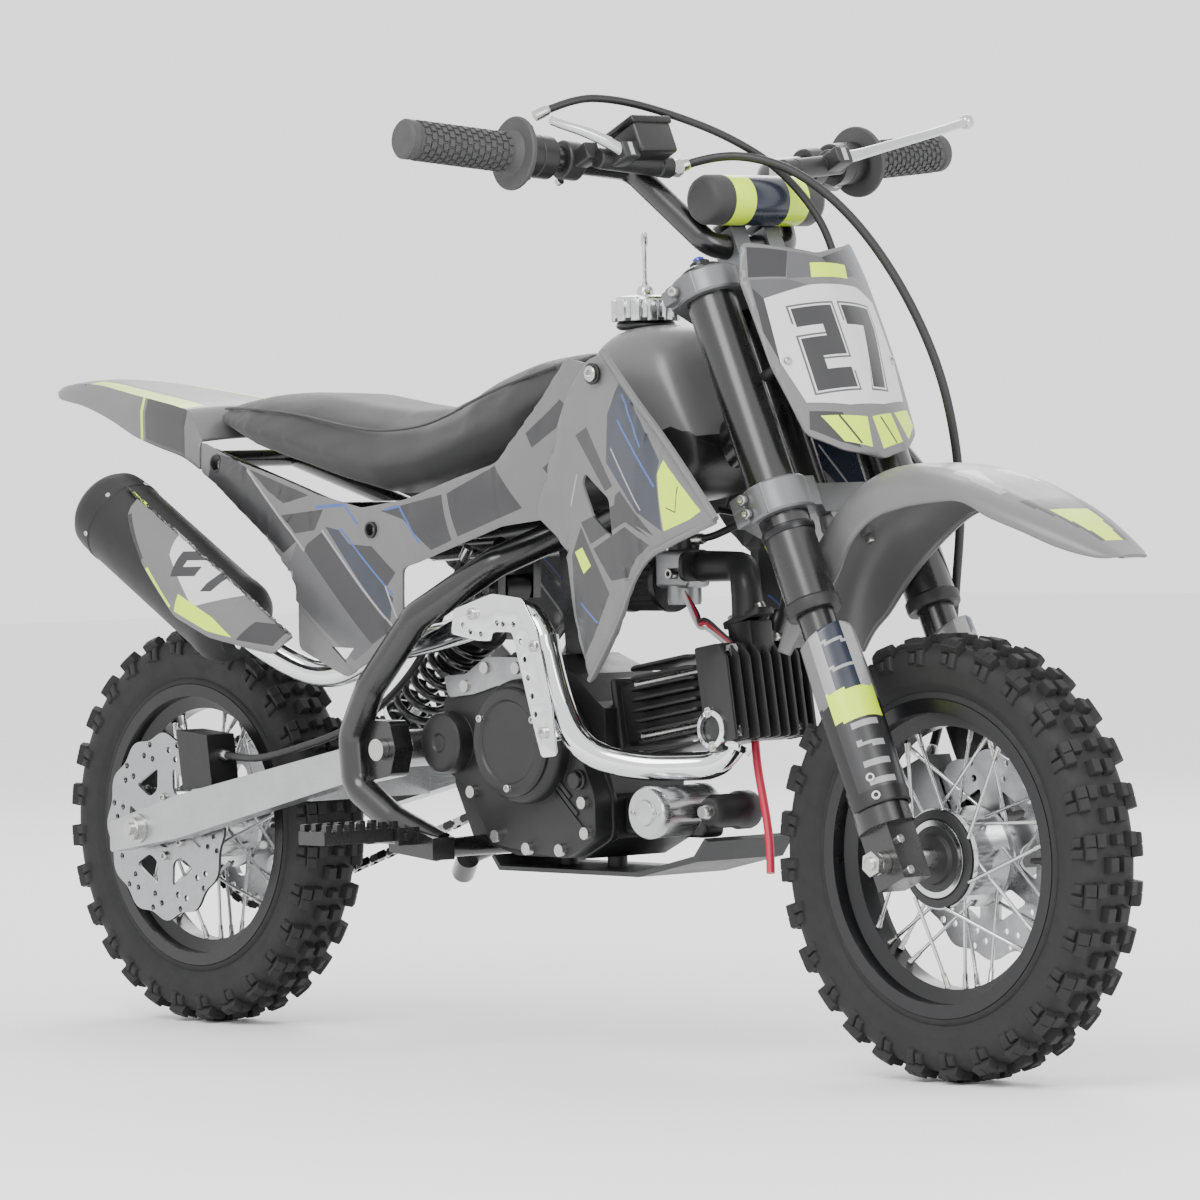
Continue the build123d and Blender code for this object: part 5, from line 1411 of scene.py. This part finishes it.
    def fittings(self):
        piece = Piece("coated_grey_casting", "zinc_plated_steel", "open_cell_filter_foam",
                      "moulded_black_plastic",
                      "brushed_starter_aluminium", "cast_bare_aluminium")
        elbow = [(252.7, 0, 203), (251, 0, 218), (247, 2, 232), (232, 16, 245), (212, 23, 246.4),
                 (169, 25, 246)]
        piece.put(pipe(elbow, 13.4, radii=[1.12, 1.02, 1, 1, 1, 1.06], sides=28))
        foot = CYLINDER @ aimed((151, 0, 92), (-0.16, 0, 1))
        piece.put(soften(slab(rounded([(-25, -12), (25, -12), (25, 12), (-25, 12)], 9, 4), 6), 1.4), foot @
                  Matrix.Rotation(math.pi / 2, 4, "Z"))
        for y in (-18, 18):
            piece.put(cap_screw(5, 5.5, 16), foot @ Matrix.Translation((0, y, 5.6)), 1)
        flange = aimed((169, 25, 246), (-1, 0, 0))
        piece.put(soften(slab(rounded([(-13, -26), (13, -26), (13, 26), (-13, 26)], 9, 4), 5), 1.2), flange @
                  Matrix.Rotation(math.pi / 2, 4, "Z"))
        body = soften(box((121, 9, 227), (163, 41, 261)), 5, 3)
        piece.put(body, None, 5)
        piece.put(spun([(0, 0), (14.4, 0), (15.4, 3), (15.4, 17), (0, 17)], 40),
                  Matrix.Translation((144, 25, 212)), 5)
        piece.put(spun([(0, 0), (14, 0), (14.6, 4), (14.6, 13), (12, 16.6), (6, 18), (0, 18)], 40),
                  Matrix.Translation((144, 25, 261)), 3)
        piece.put(cap_screw(5, 10, 14), aimed((150, 9.5, 240), (0, -1, 0)), 1)
        pleats = []
        for n in range(48):
            r = 26.4 if n % 2 else 24
            pleats.append((r * math.cos(math.tau * n / 48), r * math.sin(math.tau * n / 48)))
        piece.put(slab(pleats, 50), aimed((111, 40, 232), (-1, 0, 0)), 2)
        for x in (62.5, 115):
            cap = spun([(0, 0), (26.8, 0), (27.6, 2), (27.6, 6), (26, 8), (0, 8)], 48)
            piece.put(cap, aimed((x, 40, 232), (-1, 0, 0)), 3)
        piece.done("intake_and_carburettor", "chassis", ["intake"], crease=34)
        starter = Piece("brushed_starter_aluminium", "coated_black_casting", "zinc_plated_steel")
        motor = aimed((212, -18, 34), (0, -1, 0))
        starter.put(spun([(0, 0), (22, 0), (23.2, 2), (23.2, 8), (22.6, 8.6), (22.6, 62), (23.2, 62.6),
                          (23.2, 69), (21.4, 72), (12, 72), (11, 74.6), (7, 75.6), (0, 75.6)], 56), motor)
        for n in (0, 1):
            starter.put(cap_screw(2.6, 2, 10),
                        motor @ Matrix.Translation(((1 - 2 * n) * 16, 0, 71.6)), 2)
        starter.put(spun([(0, 0), (16, 0), (17, 3), (17, 16), (15, 22), (15, 44), (12, 50), (0, 50)], 44),
                    aimed((250, 0, 34), (0, -1, 0)), 1)
        starter.put(spun([(0, 0), (7, 0), (7, 6), (5, 9), (0, 9)], 24), aimed((250, -50, 34), (0, -1, 0)), 2)
        starter.put(soften(box((132, -44, 10), (236, -16, 44)), 6, 3), None, 1)
        starter.done("starter_motor_turned", "chassis", ["starter_motor"], crease=34)


# ---- exhaust ----
SHIELD_WALL = 1.8
SHIELD_RADIUS = 44.4
SILENCER_SLOPE = math.radians(30)
SILENCER_END = (-505, -124, 311)
GUARD_PLATE = [(142, 84), (136, 130), (118, 196), (100, 222), (60, 226), (8, 212), (4, 190), (40, 184),
               (58, 184),
               (60, 192), (86, 192), (96, 160), (112, 110), (122, 82)]


class DIRTBIKE_OT_exhaust(Maker, bpy.types.Operator):
    """Chromed header with its drilled guard, and the silencer with its printed shield"""
    bl_idname = "dirtbike.exhaust"
    bl_label = "Exhaust"

    def execute(self, context):
        line = [(262, -30, 94), (257, -38, 75), (230, -52, 73), (190, -76, 73), (152, -108, 86),
                (128, -115, 130),
                (106, -115, 206), (60, -115, 210), (0, -100, 196), (-60, -82, 186), (-150, -80, 172),
                (-215, -80, 146), (-262, -99, 158), (-293, -124, 189)]
        piece = Piece("chromed_steel", "zinc_plated_steel", "anodised_black_aluminium")
        piece.put(pipe(line, 12.5, sides=28))
        ends = [(line[0], Vector(line[0]) - Vector(line[1])), (line[-1], Vector(line[-1]) - Vector(line[-2]))]
        for point, direction in ends:
            piece.put(spun([(12.4, -6), (16.6, -6), (17.4, -4), (17.4, 0), (12.4, 0)], 36, closed=True),
                      aimed(point, direction))
        flat = slab(rounded(GUARD_PLATE, 4, 3), 2, [round_points(2.6, 10, p) for p in
                    ((30, 192), (44, 190), (74, 199), (88, 199), (97, 184), (102, 168), (106, 152),
                     (111, 136),
                     (115, 120), (120, 104), (20, 198), (66, 200))])
        piece.put(soften(flat, 0.5, 2, 60), side(-129.8))
        for x, z in ((126, 104), (116, 180), (34, 208)):
            piece.put(cap_screw(5.4, 4, 16), aimed((x, -129.6, z), (0, -1, 0)), 1)
            clip = spun([(13, -7), (15.4, -7), (15.4, 7), (13, 7)], 30, closed=True)
            piece.put(clip, aimed((x - (6 if z < 200 else 0), -115, z), (-0.25, 0, 1) if z < 200 else (1, 0,
                                                                                                       0.2)))
        piece.done("exhaust_header_chromed", "chassis", ["exhaust_header"], crease=34)
        self.silencer()
        return {"FINISHED"}

    def silencer(self):
        piece = Piece("matt_black_silencer", "zinc_plated_steel", "anodised_black_aluminium")
        whole = [(0, 120), (11.8, 120), (11.8, -1), (14, -3), (17, -3), (19, 0), (30, 4), (37, 9), (41, 15),
                 (42, 22), (42, 34), (42.8, 35), (42.8, 40), (42, 41), (42, 212), (42.8, 213), (42.8, 223),
                 (41, 229), (35, 236), (26, 240), (26, 245), (0, 245)]
        piece.put(spun(whole, 72), CAN)
        for n in range(6):
            a = math.radians(60 * n + 15)
            place = CAN @ Matrix.Rotation(a, 4, "Z") @ aimed((42.6, 0, 37.5), (1, 0, 0))
            piece.put(spun([(0, 0), (2.6, 0), (2.4, 0.9), (0, 1.4)], 10), place, 1)
        piece.done("muffler_spun", "chassis", ["muffler"], crease=32)
        outline = [(-431, 357), (-408, 348), (-321, 319), (-232, 277), (-193, 235), (-206, 186), (-209, 171),
                   (-293, 186), (-345, 205), (-389, 252), (-425, 299), (-436, 336)]
        prints = [
            ([(-433, 357), (-404, 350), (-346, 330), (-372, 318), (-414, 316), (-436, 330)], DARK),
            ([(-420, 349), (-396, 342), (-404, 322), (-430, 326)], LIME),
            ([(-352, 334), (-316, 320), (-330, 300), (-362, 312)], LIGHT),
            ([(-376, 300), (-300, 270), (-262, 226), (-318, 214), (-362, 262)], WHITE),
            (numeral(TWO, (-352, 242), 26, 36), DARK), (numeral(SEVEN, (-318, 228), 26, 36), DARK),
            ([(-270, 286), (-228, 266), (-206, 236), (-244, 250)], LIGHT),
            ([(-344, 210), (-296, 192), (-262, 186), (-290, 204), (-338, 226)], LIME),
            ([(-256, 184), (-214, 178), (-212, 196), (-244, 200)], DARK),
            (band([(-424, 300), (-392, 258)], 4.0), DARK),
            (band([(-384, 250), (-350, 214)], 3.0), LIME),
        ]
        bm = moulding(rounded(outline, 6, 3), 8, prints)
        lean = math.cos(SILENCER_SLOPE)
        end_x, _, end_z = SILENCER_END
        turn = CAN.inverted()
        forward, up = Vector((lean, 0, -0.5)), Vector((0.5, 0, lean))
        for v in bm.verts:
            height = (turn @ Vector((v.co.x, -166, v.co.y))).z
            above = (v.co.y - (end_z - (v.co.x - end_x) * math.tan(SILENCER_SLOPE))) * lean
            turned = math.asin(max(-41.5, min(41.5, above)) / 44.2)
            across = SHIELD_RADIUS * Vector((0, -math.cos(turned), 0))
            v.co = Vector(SILENCER_END) + forward * height + up * SHIELD_RADIUS * math.sin(turned) + across
        shield = Piece(*FILMS)
        shield.put(bm, closed=False)
        made = shield.done("muffler_shield_printed", "chassis", ["muffler_shield"], crease=30)
        walled(made, Vector((0, -1, 0)), SHIELD_WALL)


# ---- handlebar ----
def bar_at(y, a=0.0, s=0.0):
    """A point at the bar's sweep, in the fork's frame, moved by a forwards and s upwards."""
    rise = (abs(y) - 82) / 238
    return Vector((-33 - 12 * rise + a, y, 667 + 30 * rise + s))


class DIRTBIKE_OT_bars(Maker, bpy.types.Operator):
    """Waffle grips, levers, perches, master cylinders, switch pod, pad and cables"""
    bl_idname = "dirtbike.bars"
    bl_label = "Handlebar pieces"

    def execute(self, context):
        for way, node, body in ((1, "grip_left", "steering"), (-1, "throttle_grip", "throttle_grip")):
            self.grip(way, node, body)
        self.levers()
        self.controls()
        self.pad()
        self.cables()
        return {"FINISHED"}

    def grip(self, way, node, body):
        start, end = bar_at(way * 204), bar_at(way * 324)
        place = aimed(start, end - start)
        piece = Piece("moulded_grip_rubber", "extruded_hose_rubber")
        piece.put(spun([(11.1, 0), (31, 0), (32, 1.4), (32, 3.8), (30.6, 5), (20, 5.4), (17.4, 8), (16.4, 12),
                        (16, 14), (16, 110), (17.3, 111.5), (17.3, 118), (15, 120.4), (0, 120.4)], 44), place)
        blocks = []
        for row in range(15):
            for n in range(14):
                turn = math.tau * (n + 0.5 * (row % 2)) / 14
                block = box((15.6, -2.6, 15 + row * 6.2), (17.4, 2.6, 19.4 + row * 6.2))
                foot = [f for f in block.faces if f.normal.x < -0.9]
                bmesh.ops.delete(block, geom=foot, context="FACES_ONLY")
                block.transform(Matrix.Rotation(turn, 4, "Z"))
                blocks.append(block)
        piece.put(joined(*blocks), place, closed=False)
        piece.done(f"{node}_waffle", body, [node], crease=35, frame_place=FORK)

    def levers(self):
        right = Piece("polished_aluminium", "zinc_plated_steel")
        line = [bar_at(-128, 47.5, -14), bar_at(-142, 50, -9), bar_at(-168, 48, 2), bar_at(-186, 45, 7),
                bar_at(-197, 45, 10)]
        right.put(pipe(line, 5, radii=[1.3, 1.1, 0.95, 0.85, 0.8], sides=20))
        right.put(spun([(0, -6), (9, -6), (9, 6), (0, 6)], 28), Matrix.Translation(line[0]))
        right.put(cap_screw(4.2, 3, 14), Matrix.Translation(line[0] + Vector((0, 0, 6))), 1)
        right.done("brake_lever_right_forged", "brake_lever_right", ["brake_lever_right"],
                   crease=40, frame_place=FORK)
        left = Piece("polished_aluminium", "zinc_plated_steel")
        line = [bar_at(128, 47.5, -14), bar_at(144, 50, -15), bar_at(168, 50, -12), bar_at(225, 60, -8),
                bar_at(262, 61, -4), bar_at(298, 60, 2)]
        left.put(pipe(line, 4.6, radii=[1.35, 1.2, 1.05, 0.95, 0.9, 0.85], sides=20))
        tip = bmesh.new()
        bmesh.ops.create_uvsphere(tip, u_segments=24, v_segments=14, radius=7)
        left.put(tip, Matrix.Translation(bar_at(304, 59, 3)))
        left.put(spun([(0, -6), (9, -6), (9, 6), (0, 6)], 28), Matrix.Translation(line[0]))
        left.put(cap_screw(4.2, 3, 14), Matrix.Translation(line[0] + Vector((0, 0, 6))), 1)
        left.done("brake_lever_left_forged", "brake_lever_left", ["brake_lever_left"],
                  crease=40, frame_place=FORK)

    def controls(self):
        piece = Piece("moulded_black_plastic", "coated_grey_casting", "polished_aluminium",
                      "zinc_plated_steel",
                      "extruded_hose_rubber", "printed_white_film", "anodised_black_aluminium")
        for way in (1, -1):
            low = 168 if way > 0 else 170
            place = aimed(bar_at(way * low), bar_at(way * 203.5) - bar_at(way * low))
            profile = [(11.1, 0), (17.4, 0), (19, 1.6), (19, 15.6), (18.4, 16.4), (19, 17.2), (19, 32),
                       (17.4, 33.4),
                       (11.1, 33.4)]
            piece.put(spun(profile, 40, closed=True), place, 0)
            for s in (-13, 13):
                piece.put(cap_screw(3, 4, 12), aimed(bar_at(way * 186, -14, s), (-1, 0, 0)),
                          3)
            span = (132, 150) if way > 0 else (140, 158)
            ring = aimed(bar_at(way * span[0]), bar_at(way * span[1]) - bar_at(way * span[0]))
            piece.put(spun([(11.1, 0), (15.6, 0), (17, 1.4), (17, 16.6), (15.6, 18), (11.1, 18)], 36,
                           closed=True),
                      ring, 1)
            for y in (span[0] + 9,):
                clamp = soften(box((12, -8, -8), (33, 8, 8)), 2.4, 3)
                piece.put(clamp, Matrix.Translation(bar_at(way * y, 0, -6)), 1)
            for s in (-11, 11):
                piece.put(cap_screw(3.6, 5, 14), aimed(bar_at(way * (span[0] + 9), -16, s), (-1, 0, 0)), 3)
            ear = soften(box((34, -9, -8), (56, 9, 8)), 2.4, 3)
            piece.put(ear, Matrix.Translation(bar_at(way * 128, 0, -14)), 1)
            tube = (bar_at(way * 146, 31, -13), bar_at(way * 64, 31, -13))
            body = [(0, 0), (8, 0), (9.2, 1.6), (9.2, 62), (8.4, 63), (8.4, 66), (9.6, 67), (9.6, 78),
                    (7, 80),
                    (0, 80)]
            piece.put(spun(body, 32), aimed(tube[0], tube[1] - tube[0]), 1)
            piece.put(hex_nut(7.4, 7), aimed(tube[1], tube[1] - tube[0]), 3)
            if way < 0:
                piece.put(spun([(0, 0), (6.2, 0), (6.2, 9), (0, 9)], 22),
                          aimed((-2, -62, 654), (1, -0.2, -0.5)), 3)
        pot = soften(box((-13, -120.5, 655), (25, -77, 684)), 3.5, 3)
        piece.put(pot, None, 0)
        lid = soften(box((-14.6, -122, 682), (26.6, -75.6, 689)), 2, 3)
        piece.put(lid, None, 6)
        for a in (-8, 20):
            for y in (-115, -83):
                piece.put(cap_screw(2.8, 1.6, 12), Matrix.Translation((a, y, 688.6)), 3)
        pod = soften(box((-31, -16, -13), (-12, 16, 13)), 3, 3)
        piece.put(pod, Matrix.Translation(bar_at(185, 0, 0)), 0)
        boot = aimed(bar_at(-188, -6, 14), bar_at(-180, -2, 30) - bar_at(-188, -6, 14))
        piece.put(spun([(0, 0), (7.4, 0), (7.4, 6), (6, 8), (7, 10), (5.6, 13), (6.4, 15), (4.8, 18.4),
                        (0, 18.4)],
                       24), boot, 4)
        piece.put(spun([(7, 5.8), (8, 5.8), (8, 8), (7, 8)], 28, closed=True), boot, 5)
        piece.done("bar_controls_cast", "steering", ["bar_controls"], crease=36,
                   frame_place=FORK)

    def pad(self):
        piece = Piece("grained_seat_vinyl", "printed_lime_film", "printed_navy_film", "printed_white_film")
        profile = [(0, -66.4), (14, -66.4), (19.6, -64.4), (21.8, -60), (22, -44), (22, -40), (22, -20),
                   (22, 0),
                   (22, 20), (22, 40), (22, 44), (21.8, 60), (19.6, 64.4), (14, 66.4), (0, 66.4)]
        bm = spun(profile, 64)
        for f in bm.faces:
            z = f.calc_center_median().z
            if 20 < abs(z) < 44:
                f.material_index = 1
            elif abs(z) < 20:
                f.material_index = 2
        piece.put(bm, Matrix.Translation((20.2, 0, 610.6)) @ aimed((0, 0, 0), (0, 1, 0)))
        made = piece.done("crossbar_pad_cover", "steering", ["crossbar_pad"], crease=50,
                          frame_place=FORK)

    def cables(self):
        front = [(236, -60.6, 594), (250, -40, 603), (282, -16, 604), (320, 10, 587), (356, 36, 548),
                 (392, 56, 490),
                 (422, 70, 420), (428, 84, 354), (420, 97, 290), (405, 104, 228), (400, 102, 174),
                 (405, 88, 130),
                 (413, 70, 102), (421, 52, 79.8)]
        throttle = [(190, -181, 640), (202, -150, 655), (216, -112, 654), (236, -70, 642), (262, -24, 622),
                    (290, 14, 592), (326, 34, 540), (338, 38, 480), (320, 40, 428), (294, 42, 386),
                    (274, 42, 342),
                    (254, 40, 310), (226, 36, 290), (196, 29, 278), (176, 25.5, 271), (158.6, 25, 270)]
        rear = [(-50, -61, 264), (-68, -62, 238), (-94, -61, 194), (-128, -66, 148), (-168, -80, 112),
                (-214, -83, 94), (-264, -83, 82), (-312, -82, 72), (-356, -76, 68), (-403, -68, 72)]
        for name, node, line, radius, bodies, start, end in (
                ("front_brake_hose_bent", "front_brake_hose", front, 4, ("steering", "fork_lowers"),
                 (428, 84, 354), (413, 70, 102)),
                ("throttle_cable_bent", "throttle_cable", throttle, 3.5, ("steering", "chassis"),
                 (330, 36, 520), (176, 25, 271)),
                ("rear_brake_hose_bent", "rear_brake_hose", rear, 3.5, ("chassis", "swingarm"),
                 (-94, -61, 194), (-264, -83, 82))):
            piece = Piece("extruded_hose_rubber", "zinc_plated_steel")
            piece.put(pipe(line, radius, sides=16, fineness=8))
            for at, onward in ((line[0], line[1]), (line[-1], line[-2])):
                direction = Vector(onward) - Vector(at)
                piece.put(spun([(0, -2), (radius + 1.6, -2), (radius + 1.6, 9), (radius + 0.6, 12), (0, 12)],
                               18),
                          aimed(at, direction), 1)
            made = piece.done(name, None, [node], crease=50)
            row(start)
            row(end)
            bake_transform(made)


# ---- rear end and wheels ----
CHAIN_PITCH = 12.7
CHAIN_LIFT = 7.0
SPROCKET_PITCH_RADII = (74.87, 28.54)
class DIRTBIKE_OT_rear(Maker, bpy.types.Operator):
    """Spring, swingarm ends and chain"""
    bl_idname = "dirtbike.rear"
    bl_label = "Rear end"

    def execute(self, context):
        top, low = Vector((-62, 0, 227)), Vector((-232, 0, 88))
        place = aimed(top, low - top)
        turns, first, last = 7.5, 62.0, 181.0
        line = []
        for n in range(int(turns * 12) + 1):
            a = math.tau * n / 12
            line.append((21.5 * math.cos(a), 21.5 * math.sin(a), first + (last - first) * n / (turns * 12)))
        piece = Piece("painted_black_steel")
        piece.put(pipe(line, 3.7, sides=14, fineness=2), place)
        made = piece.done("shock_spring_wound", "shock_body", ["shock_spring"], crease=60)
        row(low) - row(top)
        row(tuple(top + (low - top) * 0.264))
        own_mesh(made)
        ends = Piece("zinc_plated_steel", "cast_bare_aluminium", "brushed_swingarm_aluminium")
        for way in (1, -1):
            ends.put(hex_nut(11, 8, 6), aimed((REAR_X, way * 96, 0), (0, way, 0)), 0)
            ends.put(spun([(6, 0), (14, 0), (14, 2), (6, 2)], 30, closed=True),
                     aimed((REAR_X, way * 94.2, 0), (0, way, 0)), 0)
            screw = aimed((REAR_X - 28, way * 83, 0), (-1, 0, 0))
            ends.put(spun([(0, -6), (3, -6), (3, 16), (0, 16)], 12), screw, 0)
            ends.put(hex_nut(5.4, 4), screw @ Matrix.Translation((0, 0, 3)), 0)
        self.chain()
        ends.done("swingarm_adjusters", "swingarm", crease=36)
        return {"FINISHED"}


    def chain(self):
        """Links at the chain's pitch, round both sprockets and along both runs."""
        rear, drive = Vector((REAR_X, 0, 0)), Vector((-58, 0, 90))
        big, small = (r + CHAIN_LIFT for r in SPROCKET_PITCH_RADII)
        span = drive - rear
        along = math.atan2(span.z, span.x)
        lean = math.acos((big - small) / span.length)
        line = []
        for n in range(41):
            a = along + lean + (math.tau - 2 * lean) * n / 40
            line.append(rear + big * Vector((math.cos(a), 0, math.sin(a))))
        for n in range(21):
            a = along - lean + 2 * lean * n / 20
            line.append(drive + small * Vector((math.cos(a), 0, math.sin(a))))
        line.append(line[0])
        marks = [0.0]
        for first, second in zip(line, line[1:]):
            marks.append(marks[-1] + (second - first).length)
        count = round(marks[-1] / CHAIN_PITCH)
        table = [(m, p.x, p.z) for m, p in zip(marks, line)]
        piece = Piece("zinc_plated_steel", "anodised_black_aluminium")
        for n in range(count):
            x, z = between(table, marks[-1] * n / count)
            ahead_x, ahead_z = between(table, min(marks[-1], marks[-1] * n / count + 2))
            turn = math.atan2(ahead_z - z, ahead_x - x)
            plate = [(-7.6, 0), (-5, 3.6), (5, 3.6), (7.6, 0), (5, -3.6), (-5, -3.6)]
            gap = 4.6 if n % 2 else 3.2
            for y in (-gap - 1.2, gap):
                place = side(55 + y, x, z) @ Matrix.Rotation(turn, 4, "Z")
                piece.put(slab(plate, 1.2), place, n % 2)
            piece.put(slab(round_points(3.4, 8), 6.4), side(51.8, x, z))
        made = piece.done("chain_links", None, ["chain"], crease=40)
        row((-100, 55, 80))
        row((-420, 55, 15))
        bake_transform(made)


class DIRTBIKE_OT_hub(Maker, bpy.types.Operator):
    """The dark ringed shells over both hubs"""
    bl_idname = "dirtbike.hubs"
    bl_label = "Hub shells"

    def execute(self, context):
        for name, x, body in (("front", FRONT_X, "front_wheel"), ("rear", REAR_X, "rear_wheel")):
            piece = Piece("coated_grey_casting")
            for low, high, radius in ((-17.5, -12, 30), (-9, -5, 26), (-2, 2, 26), (5, 9, 26),
                                      (12, 17.5, 30)):
                shell = [(20, low), (radius, low), (radius + 1, low + 1), (radius + 1, high - 1),
                         (radius, high),
                         (20, high)]
                piece.put(spun(shell, 48, closed=True), aimed((x, 0, 0), (0, 1, 0)))
            if name == "front":
                face = [(9.5, 24.3), (41, 24.3), (41.6, 26), (38, 27), (34.5, 27), (33.5, 25.6), (29, 25.6),
                        (28, 28.6), (22, 29.4), (20.5, 33), (13, 34), (9.5, 34)]
                piece.put(spun(face, 56, closed=True), aimed((x, 0, 0), (0, -1, 0)))
            piece.done(f"{name}_hub_shell", body, crease=36)
        return {"FINISHED"}


# ---- the CAD pieces that show as they are ----
CAD_FINISHES = {
    "frame": "painted_black_steel", "swingarm": "brushed_swingarm_aluminium",
    "front_rim": "anodised_black_aluminium", "rear_rim": "anodised_black_aluminium",
    "front_hub": "polished_aluminium", "rear_hub": "polished_aluminium",
    "front_axle": "zinc_plated_steel", "swingarm_bolts": "zinc_plated_steel",
                "chassis_bolts": "zinc_plated_steel",
    "rear_sprocket": "ground_disc_steel", "drive_sprocket": "ground_disc_steel",
    "fork_sliders": "painted_black_steel", "fork_tubes": "painted_black_steel",
    "front_caliper": "cast_bare_aluminium", "rear_caliper": "coated_black_casting",
    "triple_clamps": "painted_silver_clamp", "handlebar": "painted_black_steel",
    "crankcase": "coated_black_casting", "starter_motor": "brushed_starter_aluminium",
    "intake": "coated_grey_casting", "exhaust_header": "chromed_steel", "skid_plate": "dark_grey_skid_plate",
    "foot_peg_right": "painted_black_steel", "foot_peg_left": "painted_black_steel",
    "side_stand": "painted_black_steel", "shock_body": "coated_black_casting", "shock_rod": "chromed_steel",
    "start_button": "red_button_plastic", "bar_controls": "moulded_black_plastic",
    "chain": "zinc_plated_steel", "engine_covers": "coated_black_casting",
    "cylinder": "coated_black_casting", "cylinder_head": "coated_grey_casting",
    "fuel_tank": "moulded_grey_plastic", "fuel_cap": "polished_aluminium", "seat": "grained_seat_vinyl",
    "tail_fender": "moulded_grey_plastic", "front_fender": "moulded_grey_plastic",
    "side_panel_right": "moulded_grey_plastic", "side_panel_left": "moulded_grey_plastic",
    "shroud_right": "moulded_grey_plastic", "shroud_left": "moulded_grey_plastic",
    "number_plate": "moulded_grey_plastic", "muffler": "matt_black_silencer",
    "muffler_shield": "printed_white_film", "fork_guards": "moulded_black_plastic",
    "grip_left": "moulded_grip_rubber", "throttle_grip": "moulded_grip_rubber",
    "brake_lever_right": "polished_aluminium", "brake_lever_left": "polished_aluminium",
    "crossbar_pad": "grained_seat_vinyl", "shock_spring": "painted_black_steel",
    "front_brake_hose": "extruded_hose_rubber", "throttle_cable": "extruded_hose_rubber",
    "rear_brake_hose": "extruded_hose_rubber", "overflow_hose": "red_silicone_hose",
    "front_tyre": "vulcanised_tyre_rubber", "rear_tyre": "vulcanised_tyre_rubber",
    "front_disc": "ground_disc_steel", "rear_disc": "ground_disc_steel",
}


class DIRTBIKE_OT_cad_finishes(Maker, bpy.types.Operator):
    """The finishes of the pieces whose CAD shape shows"""
    bl_idname = "dirtbike.cad_finishes"
    bl_label = "Finishes of the CAD pieces"

    def execute(self, context):
        for node, name in CAD_FINISHES.items():
            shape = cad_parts[node]
            if shape.hide_render:
                continue
            shape.data.materials.clear()
            shape.data.materials.append(finish(name))
        return {"FINISHED"}


class DIRTBIKE_PT_panel(bpy.types.Panel):
    """The builders, in the order they run"""
    bl_idname = "DIRTBIKE_PT_panel"
    bl_label = "Dirt bike"
    bl_space_type = "VIEW_3D"
    bl_region_type = "UI"
    bl_category = "Dirt bike"

    def draw(self, context):
        sizes, view = context.scene.dirt_bike_sizes, context.scene.dirt_bike_view
        for group in (sizes, view):
            for name in group.__annotations__:
                self.layout.prop(group, name)
        for builder in BUILDERS:
            self.layout.operator(builder.bl_idname)




GROUPS = (BikeSizes, BikeView)
BUILDERS = (
    DIRTBIKE_OT_stage,
    DIRTBIKE_OT_overflow_hose,
    DIRTBIKE_OT_tyres,
    DIRTBIKE_OT_discs,
    DIRTBIKE_OT_panels,
    DIRTBIKE_OT_fenders,
    DIRTBIKE_OT_number_plate,
    DIRTBIKE_OT_tank,
    DIRTBIKE_OT_seat,
    DIRTBIKE_OT_fork,
    DIRTBIKE_OT_engine,
    DIRTBIKE_OT_exhaust,
    DIRTBIKE_OT_bars,
    DIRTBIKE_OT_rear,
    DIRTBIKE_OT_hub,
    DIRTBIKE_OT_cad_finishes,
)


def register():
    for each in (*GROUPS, *BUILDERS, DIRTBIKE_PT_panel):
        bpy.utils.register_class(each)
    bpy.types.Scene.dirt_bike_sizes = bpy.props.PointerProperty(type=BikeSizes)
    bpy.types.Scene.dirt_bike_view = bpy.props.PointerProperty(type=BikeView)


def unregister():
    del bpy.types.Scene.dirt_bike_view
    del bpy.types.Scene.dirt_bike_sizes
    for each in reversed((*GROUPS, *BUILDERS, DIRTBIKE_PT_panel)):
        bpy.utils.unregister_class(each)


def main():
    register()
    for builder in BUILDERS:
        group, operation = builder.bl_idname.split(".")
        getattr(getattr(bpy.ops, group), operation)()


if __name__ == "__main__":
    main()
